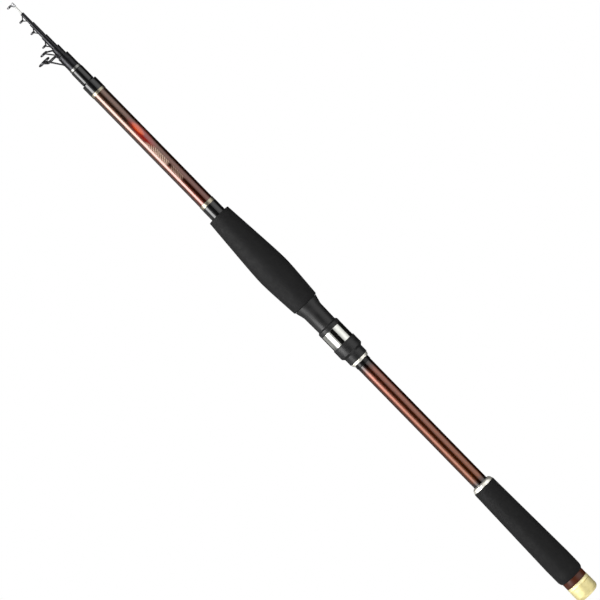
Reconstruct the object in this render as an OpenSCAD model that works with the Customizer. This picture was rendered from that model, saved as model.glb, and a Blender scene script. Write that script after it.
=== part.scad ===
// Telescopic fishing rod, closed, lying along +X from the butt to the tip.
// Line guides and the reel side face +Y. The origin is the centre of the butt cap's flat end.

/* [Butt cap] */
// Length of the cap that shows
cap_len = 18; // [14:0.5:24]
// Radius of the cap
cap_r = 13; // [12.5:0.1:15]
// Radius of the flat end that the rod stands on
cap_flat_r = 8; // [5:0.5:9]
// Width of the raised band next to the collar
cap_band_len = 3; // [2:0.5:5]
// Depth of the groove between band and dome
cap_groove = 0.5; // [0.2:0.1:1]
// Length of the screwed plug
plug_len = 10; // [9:0.5:16]
// Radius of the plug's core
plug_r = 9.9; // [9.2:0.1:10.2]
// Section diameter of the seal ring
seal_d = 1.6; // [1.2:0.1:2]
// Thickness of the rubber cushion on the plug
cushion_len = 6; // [3:0.5:10]

/* [Butt ferrule] */
// Length of the lacquered collar
collar_len = 7; // [4:0.5:10]
// Radius of the collar
collar_r = 12.8; // [12.4:0.1:14]
// Length of the skirt inside the grip
skirt_len = 22; // [15:1:40]
// Wall of the skirt round the plug's bore
skirt_wall = 1; // [0.8:0.1:1.2]

/* [Rear grip] */
// Length of the rear grip
rear_grip_len = 126.5; // [100:0.5:180]
// Radius at the front end
rear_grip_front_r = 12.75; // [12.4:0.05:14]
// Largest radius
rear_grip_r = 14.9; // [14.2:0.1:17]
// Distance of the largest radius from the rear end
rear_grip_swell = 22; // [14:1:40]
// Radius ahead of the rounded rear edge
rear_grip_rear_r = 14.8; // [14.4:0.1:16]
// Length of the rounded rear edge
rear_edge_len = 6; // [3:0.5:8]
// Depth of the rounded rear edge
rear_edge_depth = 2.4; // [1:0.1:2.6]
// Length of the metal check at the grip's front
grip_check_len = 4.5; // [3:0.5:8]

/* [Butt blank] */
// Outside diameter of the butt tube
blank_od = 16.6; // [16.2:0.1:17]
// Wall at the mouth
blank_wall = 1.6; // [1.4:0.1:1.8]
// Bore growth per millimetre towards the butt
blank_bore_taper = 0.001; // [0.0005:0.0001:0.0015]
// Bare length between the rear grip and the seat
rear_blank_len = 167; // [120:1:220]
// Bare length ahead of the foregrip
front_blank_len = 153; // [120:1:220]
// Thickness of the thread wraps
wrap_t = 0.35; // [0.2:0.05:0.4]
// Thickness of the metal trim bands
trim_t = 0.4; // [0.25:0.05:0.5]
// Length of the wrap behind the seat
seat_wrap_len = 4.5; // [3:0.5:10]
// Length of the wrap ahead of the foregrip
fore_wrap_len = 14; // [8:1:25]
// Length of the trim band ahead of that wrap
fore_trim_len = 4; // [2:0.5:6]
// Length of the trim band near the mouth
mouth_trim_len = 3; // [2:0.5:6]
// Length of the wrap at the mouth
mouth_wrap_len = 12; // [8:1:25]

/* [Reel seat] */
// Wall of the seat tube
seat_wall = 0.75; // [0.6:0.05:0.85]
// Length of the check behind the fixed hood
seat_check_len = 3.5; // [2.5:0.5:6]
// Radius of the check at its large end
seat_check_r = 10.6; // [10:0.1:11]
// Length of the hood's narrow tail
hood_tail_len = 8; // [5:0.5:14]
// Radius of the narrow tail
hood_tail_r = 11.1; // [10.7:0.1:12]
// Length of the hood's wide body
hood_body_len = 14; // [10:0.5:20]
// Radius of the wide body
hood_body_r = 13.5; // [13.3:0.1:14.5]
// Length of the bright sleeve that shows
hood_sleeve_len = 18; // [13:0.5:24]
// Outside radius of the bright sleeve
hood_sleeve_r = 12.65; // [12.2:0.05:12.9]
// Wall of the bright sleeve
hood_sleeve_wall = 0.9; // [0.6:0.1:1.2]
// Depth that the sleeve is let into the hood
hood_socket = 6; // [4:0.5:9]
// Travel of the moving hood
hood_travel = 60; // [40:1:64]

/* [Moving hood] */
// Length of the rim
rim_len = 5; // [3.5:0.5:7]
// Radius of the rim
rim_r = 12.7; // [12.4:0.1:13.4]
// Length of the neck
neck_len = 21.5; // [18:0.5:30]
// Radius of the neck behind the rim
neck_rear_r = 11; // [10.9:0.05:11.3]
// Radius of the neck at the cone
neck_front_r = 11.4; // [11.2:0.05:12]
// Length of the cone that meets the grip
hood_cone_len = 9.5; // [5:0.5:12]
// Radius of the cone at the grip
hood_cone_r = 13.9; // [12.9:0.1:14.4]
// Depth of the tapered pocket for the reel's foot
pocket_len = 8; // [6:0.5:12]
// Length of the hollow between the pocket and the keyed bore
neck_hollow_len = 6; // [4:0.5:10]
// Wall of the pocket at its mouth
pocket_lip = 0.9; // [0.7:0.1:1.2]
// Thickness of the shoulder past the cone
hood_shoulder_len = 2; // [1.5:0.1:3]
// Length of the tail inside the grip
hood_inner_len = 12; // [11:0.5:16]
// Wall of the tail inside the grip
hood_inner_wall = 1.1; // [0.9:0.1:1.4]
// Width of the flat that keys the hood to the seat, below the seat's radius
key_depth = 0.35; // [0.2:0.05:0.4]

/* [Foregrip] */
// Length of the foregrip
foregrip_len = 125; // [105:1:170]
// Largest radius
belly_r = 17.7; // [16.5:0.1:20]
// Distance of the largest radius from the rear end
belly_x = 46; // [35:1:70]
// Radius at the rear end
foregrip_rear_r = 15.1; // [14.6:0.1:16]
// Radius at the front end
foregrip_front_r = 12.6; // [12.4:0.1:14]
// Roundness of the belly
belly_round = 10; // [4:1:20]
// Radius of the rounded rear edge
foregrip_round = 1.6; // [0.8:0.1:2]
// Radius of the rounded front edge
foregrip_front_round = 0.9; // [0.4:0.1:1]
// Outside radius of the nut barrel
nut_r = 11.3; // [11.1:0.1:11.6]
// Wall of the nut barrel
nut_wall = 1.2; // [0.9:0.1:1.5]
// Length of the nut's screwed stretch
nut_thread_len = 22; // [15:1:26]
// Length of the groove at each end of the seat's thread
relief_len = 2; // [1:0.5:4]
// Wall of the nut's neck
nut_neck_wall = 1; // [0.8:0.05:1.2]
// Thickness of the nut's rear flange
nut_flange_len = 2.5; // [2:0.1:3.5]
// Thickness of the thrust washer
washer_t = 0.8; // [0.5:0.1:1.2]
// Thickness of the snap ring
snap_t = 1.2; // [0.8:0.1:1.6]
// Length of the front bush
bush_len = 5; // [3:0.5:8]

/* [Section 1] */
// Length that stands out of the butt when closed
s1_stand = 37.5; // [32:0.5:50]
// Loss of diameter from the lock to the top
s1_drop = 1.5; // [1:0.1:2]
// Wall of the tube
s1_wall = 0.8; // [0.6:0.05:0.9]
// Length of the stop collar
stop_collar_len = 17.5; // [12:0.5:20]
// Thickness of the stop collar
stop_collar_t = 1; // [0.7:0.1:1.4]
// Length of the trim ring ahead of the collar
stop_trim_len = 2.9; // [1:0.1:3]
// Thickness of the trim ring
stop_trim_t = 0.65; // [0.45:0.05:0.9]
// Radius of the guide ring's bore
g1_bore_r = 5.7; // [4:0.1:7]
// Height of the ring's centre over the axis
g1_rise = 18; // [15:0.5:22]
// Distance of the ring ahead of the section's top
g1_ahead = 8.5; // [6:0.5:10]
// Distance of the front feet behind the section's top
g1_front_foot = 1.2; // [0.8:0.1:3]
// Distance of the rear feet behind the section's top
g1_rear_foot = 7; // [5:0.5:12]
// Diameter of the frame's wire
g1_wire_d = 1.3; // [1:0.1:1.6]

/* [Section 2] */
// Length that stands out of section 1 when closed
s2_stand = 11.5; // [10:0.5:25]
// Loss of diameter from the lock to the top
s2_drop = 1.5; // [0.9:0.1:1.7]
// Wall of the tube
s2_wall = 0.7; // [0.5:0.05:0.8]
// Radius of the guide ring's bore
g2_bore_r = 2.95; // [2:0.05:3.5]
// Height of the ring's centre over the axis
g2_rise = 12.75; // [11:0.25:14]
// Distance of the ring ahead of the section's top
g2_ahead = 3; // [2:0.5:5]
// Distance of the front feet behind the section's top
g2_front_foot = 1; // [0.7:0.1:3]
// Distance of the rear feet behind the section's top
g2_rear_foot = 6.5; // [5:0.5:8]
// Diameter of the frame's wire
g2_wire_d = 1.1; // [0.8:0.1:1.3]

/* [Section 3] */
// Length that stands out of section 2 when closed
s3_stand = 15.5; // [14:0.5:30]
// Loss of diameter from the lock to the top
s3_drop = 1.05; // [0.6:0.05:1.2]
// Wall of the tube
s3_wall = 0.5; // [0.4:0.05:0.6]
// Radius of the guide ring's bore
g3_bore_r = 1.5; // [1.2:0.05:1.9]
// Height of the ring's centre over the axis
g3_rise = 6.9; // [6.7:0.1:9]
// Distance of the ring ahead of the section's top
g3_ahead = -7.5; // [-8:0.5:-6.5]
// Distance of the front feet behind the section's top
g3_front_foot = 4; // [2:0.5:5]
// Distance of the rear feet behind the section's top
g3_rear_foot = 11; // [10:0.5:12]
// Diameter of the frame's wire
g3_wire_d = 0.9; // [0.7:0.1:1]

/* [Section 4] */
// Length that stands out of section 3 when closed
s4_stand = 18; // [14:0.5:30]
// Loss of diameter from the lock to the top
s4_drop = 0.55; // [0.35:0.05:0.7]
// Wall of the tube
s4_wall = 0.45; // [0.35:0.05:0.5]
// Radius of the guide ring's bore
g4_bore_r = 1.35; // [1:0.05:1.7]
// Height of the ring's centre over the axis
g4_rise = 5.8; // [5.6:0.1:8]
// Distance of the ring ahead of the section's top
g4_ahead = -7.5; // [-8:0.5:-6]
// Distance of the front feet behind the section's top
g4_front_foot = 4; // [2:0.5:5]
// Distance of the rear feet behind the section's top
g4_rear_foot = 11; // [10:0.5:12]
// Diameter of the frame's wire
g4_wire_d = 0.9; // [0.7:0.1:1]

/* [Section 5] */
// Length that stands out of section 4 when closed
s5_stand = 14; // [12:0.5:30]
// Loss of diameter from the lock to the top
s5_drop = 0.45; // [0.25:0.05:0.55]
// Wall of the tube
s5_wall = 0.4; // [0.3:0.05:0.45]
// Radius of the guide ring's bore
g5_bore_r = 1.25; // [1:0.05:1.6]
// Height of the ring's centre over the axis
g5_rise = 5.9; // [5:0.1:8]
// Distance of the ring ahead of the section's top
g5_ahead = -5.5; // [-6:0.5:-4.5]
// Distance of the front feet behind the section's top
g5_front_foot = 2; // [1:0.5:3]
// Distance of the rear feet behind the section's top
g5_rear_foot = 8.5; // [8:0.5:10]
// Diameter of the frame's wire
g5_wire_d = 0.8; // [0.6:0.1:0.9]

/* [Tip section] */
// Length that stands out of section 5 when closed
tip_stand = 14.5; // [12:0.5:30]
// Loss of diameter from the lock to the end
tip_drop = 0.45; // [0.2:0.05:0.9]
// Length of the tip top's tube
tip_tube_len = 5; // [4:0.5:8]
// Radius of the tip ring's bore
tip_bore_r = 1.5; // [1.2:0.1:2]
// Height of the ring's centre over the axis
tip_rise = 4.5; // [4.3:0.1:6]
// Distance of the ring behind the end of the tip top
tip_ring_back = 1.2; // [1:0.1:2]
// Diameter of the frame's wire
tip_wire_d = 0.7; // [0.5:0.1:0.8]

/* [Joints between sections] */
// Length of the locking taper on section 1
lap_first = 120; // [80:1:150]
// Shortening of the taper from each section to the next
lap_step = 13; // [5:1:18]
// Radial play of a drawn lock
lock_clear = 0.04; // [0.02:0.01:0.08]
// Length of a section's straight top that stays in the one below
top_hidden_len = 3; // [1:0.5:6]
// Gap between a closed section's foot and the cushion
foot_gap = 0.2; // [0.1:0.05:0.4]
// Gap between a guide's sleeve and the mouth below it
sleeve_gap = 0.6; // [0.3:0.1:1]

/* [Guides] */
// Wall of a guide's sleeve
sleeve_wall = 0.35; // [0.25:0.05:0.45]
// Wall of the hoop that holds a ring
hoop_wall = 0.5; // [0.4:0.05:0.7]
// Length of the hoop
hoop_len = 1.3; // [1:0.1:1.6]
// Wall of a ceramic ring
ring_wall = 0.8; // [0.6:0.05:1]
// Length of a ceramic ring
ring_len = 1.8; // [1.6:0.1:2.4]
// Straight land in a ring's bore
ring_land = 0.8; // [0.6:0.1:1]

/* [Fits] */
// Gap of a glued joint
glue_gap = 0.05; // [0.03:0.01:0.1]
// Running gap of a part that turns or slides on another
run_gap = 0.15; // [0.1:0.01:0.2]
// Gap between faces that meet end to end
face_gap = 0.1; // [0.05:0.01:0.2]
// Size of small broken edges
edge = 0.4; // [0.2:0.05:0.45]

/* [Hidden] */
$fn = 72;

// Finishes as the eye sees them
BROWN = "#5a2417";
FOAM = "#262626";
GOLD = "#e2c98a";
BLACK = "#161616";
BRIGHT = "#d8d8d4";
STEEL = "#4a4a4c";
WHITE = "#e8e6e0";
RUBBER = "#303030";

// Stations along the axis, from the butt
collar_front = cap_len + face_gap + collar_len;
grip_front = collar_front + rear_grip_len;
check_front = grip_front + grip_check_len;
seat_wrap_x = check_front + rear_blank_len;
seat_check_x = seat_wrap_x + seat_wrap_len;
hood_x = seat_check_x + seat_check_len;
hood_step = hood_x + hood_tail_len;
hood_front = hood_step + hood_body_len;
sleeve_front = hood_front + hood_sleeve_len;
rim_x = sleeve_front + face_gap;
neck_x = rim_x + rim_len;
cone_x = neck_x + neck_len;
cone_front = cone_x + hood_cone_len;
foregrip_x = cone_front + face_gap;
foregrip_front = foregrip_x + foregrip_len;
fore_trim_x = foregrip_front + fore_wrap_len;
mouth_trim_x = fore_trim_x + fore_trim_len + front_blank_len;
mouth_wrap_x = mouth_trim_x + mouth_trim_len;
mouth_x = mouth_wrap_x + mouth_wrap_len;

// Radii round the butt tube
blank_r = blank_od / 2;
glued_r = blank_r + glue_gap;
seat_r = glued_r + seat_wall;
slide_r = seat_r + run_gap;
plug_bore_r = plug_r + seal_d / 2 + run_gap;
skirt_r = plug_bore_r + skirt_wall;

// Cap, ferrule and cushion
collar_x = cap_len + face_gap;
blank_x = collar_x + plug_len + face_gap;
cushion_x = cap_len + plug_len;
cushion_front = cushion_x + cushion_len;
foot_x = cushion_front + foot_gap;
blank_bore_r = blank_r - blank_wall + blank_bore_taper * (mouth_x - blank_x) / 2;
cushion_r = blank_bore_r - 2 * run_gap;
seal_x = cap_len + seal_d;

// Inside of the foregrip
hood_shoulder = cone_front + hood_shoulder_len;
washer_x = hood_shoulder + face_gap / 2;
nut_x = washer_x + washer_t + face_gap / 2;
snap_x = nut_x + nut_flange_len + face_gap;
hood_end = cone_front + hood_inner_len;
hood_bore_r = nut_r - face_gap;
hood_inner_r = hood_bore_r + hood_inner_wall;
nut_body_x = hood_end + face_gap;
nut_neck_r = slide_r + nut_neck_wall;
nut_front = foregrip_front - bush_len;
nut_bore_r = nut_r - nut_wall;
seat_front = nut_front - face_gap;
thread_x = nut_body_x + relief_len;
nut_thread_end = thread_x + nut_thread_len;
seat_thread_end = nut_thread_end + hood_travel;
pocket_r = rim_r - pocket_lip;
neck_bore_r = neck_rear_r - pocket_lip;

// Sections, numbered from the butt, which is 0
stand = [s1_stand, s2_stand, s3_stand, s4_stand, s5_stand, tip_stand];
drop = [s1_drop, s2_drop, s3_drop, s4_drop, s5_drop, tip_drop];
wall = [s1_wall, s2_wall, s3_wall, s4_wall, s5_wall];
// Number of the tip section
TIP = len(stand);

// Guides, one per tube section
bore_r = [g1_bore_r, g2_bore_r, g3_bore_r, g4_bore_r, g5_bore_r];
rise = [g1_rise, g2_rise, g3_rise, g4_rise, g5_rise];
ahead = [g1_ahead, g2_ahead, g3_ahead, g4_ahead, g5_ahead];
front_foot = [g1_front_foot, g2_front_foot, g3_front_foot, g4_front_foot, g5_front_foot];
rear_foot = [g1_rear_foot, g2_rear_foot, g3_rear_foot, g4_rear_foot, g5_rear_foot];
wire_d = [g1_wire_d, g2_wire_d, g3_wire_d, g4_wire_d, g5_wire_d];

// Where the wires of a frame leave its sleeve and meet its hoop, as angles from the guide side
FRONT_FOOT_TURN = 48;
REAR_FOOT_TURN = 16;
FRONT_HOOP_TURN = 128;
REAR_HOOP_TURN = 100;
// Where the bent front legs of the largest guide meet its hoop
BENT_HOOP_TURN = 75;
// Places of the bends in those legs, as shares of their run along, up and out
LEG_BENDS = [[0.6, 0.1, 0.7], [0.62, 0.75, 1.3]];
// Size of the ball at a wire's bend against the wire
BEND_BALL = 1.04;
// Height of a wire's centre over its sleeve, against the wire
FOOT_LIFT = 0.1;
// Largest shares of a band's wall and of its length that a broken edge takes
EDGE_OF_WALL = 0.6;
EDGE_OF_LENGTH = 1 / 3;
// Share of a sleeve's wall that its lip takes
LIP_OF_WALL = 1 / 3;
// Share of a ring's rounded lip that breaks its outer edge
EDGE_OF_LIP = 1 / 4;
// Stations that draw the foregrip behind and ahead of its belly
BELLY_REAR_STEPS = 8;
BELLY_FRONT_STEPS = 12;
// Spare length of a cutting tool beyond the face it cuts
CUT = 1;
// Height of the snap ring's groove in the hood
SNAP_GROOVE = 0.5;

function lap(i) = lap_first - lap_step * (i - 1);
function top_x(i) = i == 0 ? mouth_x : top_x(i - 1) + stand[i - 1];
function mouth_bore_d(i) = i == 0 ? blank_od - 2 * blank_wall : top_d(i) - 2 * wall[i - 1];
function lock_d(i) = mouth_bore_d(i - 1) - 2 * lock_clear;
function top_d(i) = lock_d(i) - drop[i - 1];
function foot_d(i) = lock_d(i) + bore_taper(i - 1) * lap(i);
function foot_bore_d(i) = foot_d(i) - 2 * wall[i - 1];
function bore_taper(i) =
  i == 0 ? blank_bore_taper : (foot_bore_d(i) - mouth_bore_d(i)) / (top_x(i) - foot_x);
// How far a section draws out
function travel(i) = top_x(i - 1) - lap(i) - foot_x;
// How far a section and all those below it draw out
function drawn(i) = i == 0 ? 0 : drawn(i - 1) + travel(i);
function sleeve_r(i) = top_d(i) / 2 + glue_gap + sleeve_wall;
function hoop_r(bore) = bore + ring_wall + glue_gap + hoop_wall;

// Points of an arc in a turned outline, about centre [radius, station]
function arc(centre, radius, from, to, steps = 8) = [
  for (k = [0:steps])
    let (a = from + (to - from) * k / steps)
      [centre[0] + radius * cos(a), centre[1] + radius * sin(a)]
];

// Radius of a swollen grip at a distance from its fullest station
function swell(full, end, reach, away) =
  full - (full - end) * (sqrt(away * away + belly_round * belly_round) - belly_round)
    / (sqrt(reach * reach + belly_round * belly_round) - belly_round);

// A solid turned about the rod's axis from an outline of [radius, station]
module turned(outline) {
  rotate([0, 90, 0])
    rotate_extrude()
      polygon(outline);
}

// A plain band round the rod with broken outer edges
module band(inner, outer, from, to) {
  cut = min(edge, (outer - inner) * EDGE_OF_WALL, (to - from) * EDGE_OF_LENGTH);
  turned([
    [inner, from], [outer - cut, from], [outer, from + cut],
    [outer, to - cut], [outer - cut, to], [inner, to]
  ]);
}

// A straight stretch of wire between two points
module wire(from, to, diameter) {
  run = to - from;
  reach = norm(run);
  translate(from)
    rotate([0, acos(run[2] / reach), atan2(run[1], run[0])])
      cylinder(h = reach, d = diameter);
}

// A bent wire through a list of points, with a ball at each bend
module bent_wire(points, diameter) {
  last = len(points) - 1;
  for (k = [1:last])
    wire(points[k - 1], points[k], diameter);
  for (k = [1:1:last - 1])
    translate(points[k])
      sphere(d = diameter * BEND_BALL);
}

module butt_blank() {
  color(BROWN)
    turned([
      [blank_bore_r, blank_x], [blank_r, blank_x],
      [blank_r, mouth_x], [blank_r - blank_wall, mouth_x]
    ]);
}

module butt_ferrule() {
  color(BROWN)
    turned([
      [plug_bore_r, collar_x], [collar_r - edge, collar_x], [collar_r, collar_x + edge],
      [collar_r, collar_front - edge], [collar_r - edge, collar_front], [skirt_r, collar_front],
      [skirt_r, collar_front + skirt_len], [glued_r, collar_front + skirt_len],
      [glued_r, blank_x], [plug_bore_r, blank_x]
    ]);
}

module rear_grip() {
  start = collar_front + face_gap;
  swell_x = start + rear_grip_swell;
  bore = skirt_r + glue_gap;
  skirt_end = collar_front + skirt_len + face_gap;
  color(FOAM)
    turned(concat(
      [[bore, start]],
      [for (p = arc([0, 0], 1, -90, 0))
        [rear_grip_rear_r - rear_edge_depth * (1 - p[0]), start + rear_edge_len * (1 + p[1])]],
      [[rear_grip_r, swell_x], [rear_grip_front_r, grip_front - edge]],
      [[rear_grip_front_r - edge, grip_front], [glued_r, grip_front]],
      [[glued_r, skirt_end], [bore, skirt_end]]
    ));
}

module rear_grip_check() {
  start = grip_front + face_gap / 2;
  tip_r = glued_r + trim_t;
  color(GOLD)
    turned([
      [glued_r, start], [rear_grip_front_r - edge, start], [rear_grip_front_r - edge, start + edge],
      [tip_r + edge, check_front - edge], [tip_r, check_front], [glued_r, check_front]
    ]);
}

module seat_wrap() {
  color(BLACK)
    band(glued_r, glued_r + wrap_t, seat_wrap_x, seat_check_x);
}

module seat_check() {
  start = seat_check_x + face_gap / 2;
  length = hood_x - face_gap / 2 - start;
  tip_r = glued_r + trim_t;
  color(GOLD)
    turned(concat(
      [[glued_r, start]],
      [for (p = arc([0, 0], 1, 180, 90))
        [seat_check_r + (seat_check_r - tip_r) * p[0], start + length * p[1]]],
      [[glued_r, start + length]]
    ));
}

module seat_tube() {
  flat_from = sleeve_front;
  color(BLACK)
    difference() {
      turned([
        [glued_r, hood_x], [seat_r, hood_x],
        [seat_r, thread_x - relief_len], [seat_r - edge, thread_x - relief_len],
        [seat_r - edge, thread_x], [seat_r, thread_x],
        [seat_r, seat_thread_end], [seat_r - edge, seat_thread_end],
        [seat_r - edge, seat_thread_end + relief_len], [seat_r, seat_thread_end + relief_len],
        [seat_r, seat_front - edge], [seat_r - edge, seat_front], [glued_r, seat_front]
      ]);
      translate([flat_from, -seat_r - CUT, -seat_r])
        cube([seat_front - flat_from + CUT, key_depth + CUT, 2 * seat_r]);
    }
}

module rear_hood() {
  socket_r = hood_sleeve_r + glue_gap;
  color(BLACK)
    turned([
      [seat_r + glue_gap, hood_x], [hood_tail_r - edge, hood_x], [hood_tail_r, hood_x + edge],
      [hood_tail_r, hood_step], [hood_body_r, hood_step + hood_body_r - hood_tail_r],
      [hood_body_r, hood_front - edge], [hood_body_r - edge, hood_front],
      [socket_r, hood_front], [socket_r, hood_front - hood_socket],
      [seat_r + glue_gap, hood_front - hood_socket]
    ]);
}

module hood_sleeve() {
  back = hood_front - hood_socket + face_gap;
  inner = hood_sleeve_r - hood_sleeve_wall;
  lip = hood_sleeve_wall * LIP_OF_WALL;
  color(BRIGHT)
    turned([
      [inner, back], [hood_sleeve_r, back], [hood_sleeve_r, sleeve_front - lip],
      [hood_sleeve_r - lip, sleeve_front], [inner + lip, sleeve_front], [inner, sleeve_front - lip]
    ]);
}

module fore_wrap() {
  color(BLACK)
    band(glued_r, glued_r + wrap_t, nut_front, fore_trim_x);
}

module fore_trim() {
  color(GOLD)
    band(glued_r, glued_r + trim_t, fore_trim_x, fore_trim_x + fore_trim_len);
}

module mouth_trim() {
  color(GOLD)
    band(glued_r, glued_r + trim_t, mouth_trim_x, mouth_wrap_x);
}

module mouth_wrap() {
  color(BLACK)
    band(glued_r, glued_r + wrap_t, mouth_wrap_x, mouth_x);
}

module moving_hood() {
  rim_fall = rim_r - neck_rear_r;
  flat_y = seat_r - key_depth + run_gap;
  key_x = rim_x + pocket_len + neck_hollow_len;
  color(BLACK)
    difference() {
      union() {
        turned([
          [pocket_r, rim_x], [rim_r - edge, rim_x], [rim_r, rim_x + edge], [rim_r, neck_x - rim_fall / 2],
          [neck_rear_r, neck_x + rim_fall / 2], [neck_front_r, cone_x],
          [hood_cone_r, cone_front], [hood_inner_r, cone_front], [hood_inner_r, hood_end],
          [hood_bore_r, hood_end], [hood_bore_r, hood_shoulder], [slide_r, hood_shoulder],
          [slide_r, key_x], [neck_bore_r, key_x], [neck_bore_r, rim_x + pocket_len]
        ]);
        // The flat of the keyed bore
        intersection() {
          translate([key_x, -slide_r - edge, -slide_r])
            cube([hood_shoulder - key_x, slide_r + edge - flat_y, 2 * slide_r]);
          translate([key_x, 0, 0])
            rotate([0, 90, 0])
              cylinder(h = hood_shoulder - key_x, r = slide_r + edge / 2);
        }
      }
      // Groove for the snap ring
      turned([
        [hood_bore_r - CUT, snap_x - face_gap / 2], [hood_bore_r + SNAP_GROOVE, snap_x - face_gap / 2],
        [hood_bore_r + SNAP_GROOVE, snap_x + snap_t + face_gap / 2],
        [hood_bore_r - CUT, snap_x + snap_t + face_gap / 2]
      ]);
    }
}

module hood_snap_ring() {
  outer = hood_bore_r + SNAP_GROOVE - glue_gap;
  inner = nut_neck_r + run_gap;
  color(STEEL)
    difference() {
      turned([[inner, snap_x], [outer, snap_x], [outer, snap_x + snap_t], [inner, snap_x + snap_t]]);
      // The gap that lets the ring spring in
      translate([snap_x - CUT, inner - CUT, -snap_t])
        cube([snap_t + 2 * CUT, outer - inner + 2 * CUT, 2 * snap_t]);
    }
}

module thrust_washer() {
  color(WHITE)
    turned([
      [slide_r, washer_x], [hood_bore_r - run_gap, washer_x],
      [hood_bore_r - run_gap, washer_x + washer_t], [slide_r, washer_x + washer_t]
    ]);
}

module foregrip() {
  belly = foregrip_x + belly_x;
  rear_reach = belly_x - foregrip_round;
  front_reach = foregrip_front - foregrip_front_round - belly;
  recess_r = hood_inner_r + run_gap;
  color(FOAM)
    turned(concat(
      [[recess_r, foregrip_x]],
      arc([foregrip_rear_r - foregrip_round, foregrip_x + foregrip_round], foregrip_round, -90, 0),
      [for (k = [BELLY_REAR_STEPS - 1:-1:1])
        let (d = rear_reach * k / BELLY_REAR_STEPS)
          [swell(belly_r, foregrip_rear_r, rear_reach, d), belly - d]],
      [for (k = [0:BELLY_FRONT_STEPS - 1])
        let (d = front_reach * k / BELLY_FRONT_STEPS)
          [swell(belly_r, foregrip_front_r, front_reach, d), belly + d]],
      arc([foregrip_front_r - foregrip_front_round, foregrip_front - foregrip_front_round],
        foregrip_front_round, 0, 90),
      [[nut_r + glue_gap, foregrip_front], [nut_r + glue_gap, nut_body_x]],
      [[recess_r, nut_body_x]]
    ));
}

module grip_nut() {
  flange_r = hood_bore_r - run_gap;
  color(BLACK)
    turned([
      [slide_r, nut_x], [flange_r, nut_x], [flange_r, nut_x + nut_flange_len],
      [nut_neck_r, nut_x + nut_flange_len], [nut_neck_r, nut_body_x], [nut_r, nut_body_x],
      [nut_r, nut_front], [nut_bore_r, nut_front], [nut_bore_r, nut_thread_end], [slide_r, nut_thread_end]
    ]);
}

module foregrip_bush() {
  bore = glued_r + max(wrap_t, trim_t) + run_gap;
  color(BLACK)
    band(bore, nut_r, nut_front + face_gap, foregrip_front);
}

module cap_seal() {
  color(RUBBER)
    translate([seal_x, 0, 0])
      rotate([0, 90, 0])
        rotate_extrude()
          translate([plug_r, 0])
            circle(d = seal_d);
}

module butt_cap() {
  round_r = cap_r - cap_flat_r;
  band_back = cap_len - cap_band_len;
  groove_r = plug_r - seal_d / 2 - glue_gap;
  groove_half = seal_d / 2 + face_gap;
  color(GOLD)
    turned(concat(
      [[0, 0], [cap_flat_r, 0]],
      arc([cap_flat_r, round_r], round_r, -90, 0),
      [[cap_r, band_back - 2 * cap_groove], [cap_r - cap_groove, band_back - cap_groove], [cap_r, band_back]],
      [[cap_r, cap_len - edge], [cap_r - edge, cap_len], [plug_r, cap_len]],
      [[plug_r, seal_x - groove_half], [groove_r, seal_x - groove_half]],
      [[groove_r, seal_x + groove_half], [plug_r, seal_x + groove_half]],
      [[plug_r, cushion_x - edge], [plug_r - edge, cushion_x], [0, cushion_x]]
    ));
}

module cap_cushion() {
  color(RUBBER)
    turned([
      [0, cushion_x], [cushion_r, cushion_x], [cushion_r, cushion_front - edge],
      [cushion_r - edge, cushion_front], [0, cushion_front]
    ]);
}

// A tube section: locking taper at the foot, long taper, then a straight top for its guide
module section_tube(i) {
  straight_x = top_x(i - 1) - top_hidden_len;
  color(BLACK)
    turned([
      [foot_bore_d(i) / 2, foot_x], [foot_d(i) / 2, foot_x], [lock_d(i) / 2, foot_x + lap(i)],
      [top_d(i) / 2, straight_x], [top_d(i) / 2, top_x(i)], [mouth_bore_d(i) / 2, top_x(i)]
    ]);
}

module section_1() {
  section_tube(1);
}

module section_2() {
  section_tube(2);
}

module section_3() {
  section_tube(3);
}

module section_4() {
  section_tube(4);
}

module section_5() {
  section_tube(5);
}

module tip_section() {
  color(WHITE)
    turned([
      [0, foot_x], [foot_d(TIP) / 2, foot_x], [lock_d(TIP) / 2, foot_x + lap(TIP)],
      [top_d(TIP) / 2, top_x(TIP - 1)], [top_d(TIP) / 2, top_x(TIP) - edge], [0, top_x(TIP) - edge]
    ]);
}

collar_end = mouth_x + sleeve_gap + stop_collar_len;

module stop_collar() {
  bore = top_d(1) / 2 + glue_gap;
  color(BLACK)
    band(bore, bore + stop_collar_t, mouth_x + sleeve_gap, collar_end);
}

module stop_trim() {
  bore = top_d(1) / 2 + glue_gap;
  color(GOLD)
    band(bore, bore + stop_trim_t, collar_end, collar_end + stop_trim_len);
}

// Station where the sleeve of a guide starts
function sleeve_x(i) = i == 1 ? collar_end + stop_trim_len : top_x(i - 1) + sleeve_gap;

// A point on a circle round an axis that runs along the rod, turned from the guide side
function around(station, height, radius, turn) =
  [station, height + radius * cos(turn), radius * sin(turn)];

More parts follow.
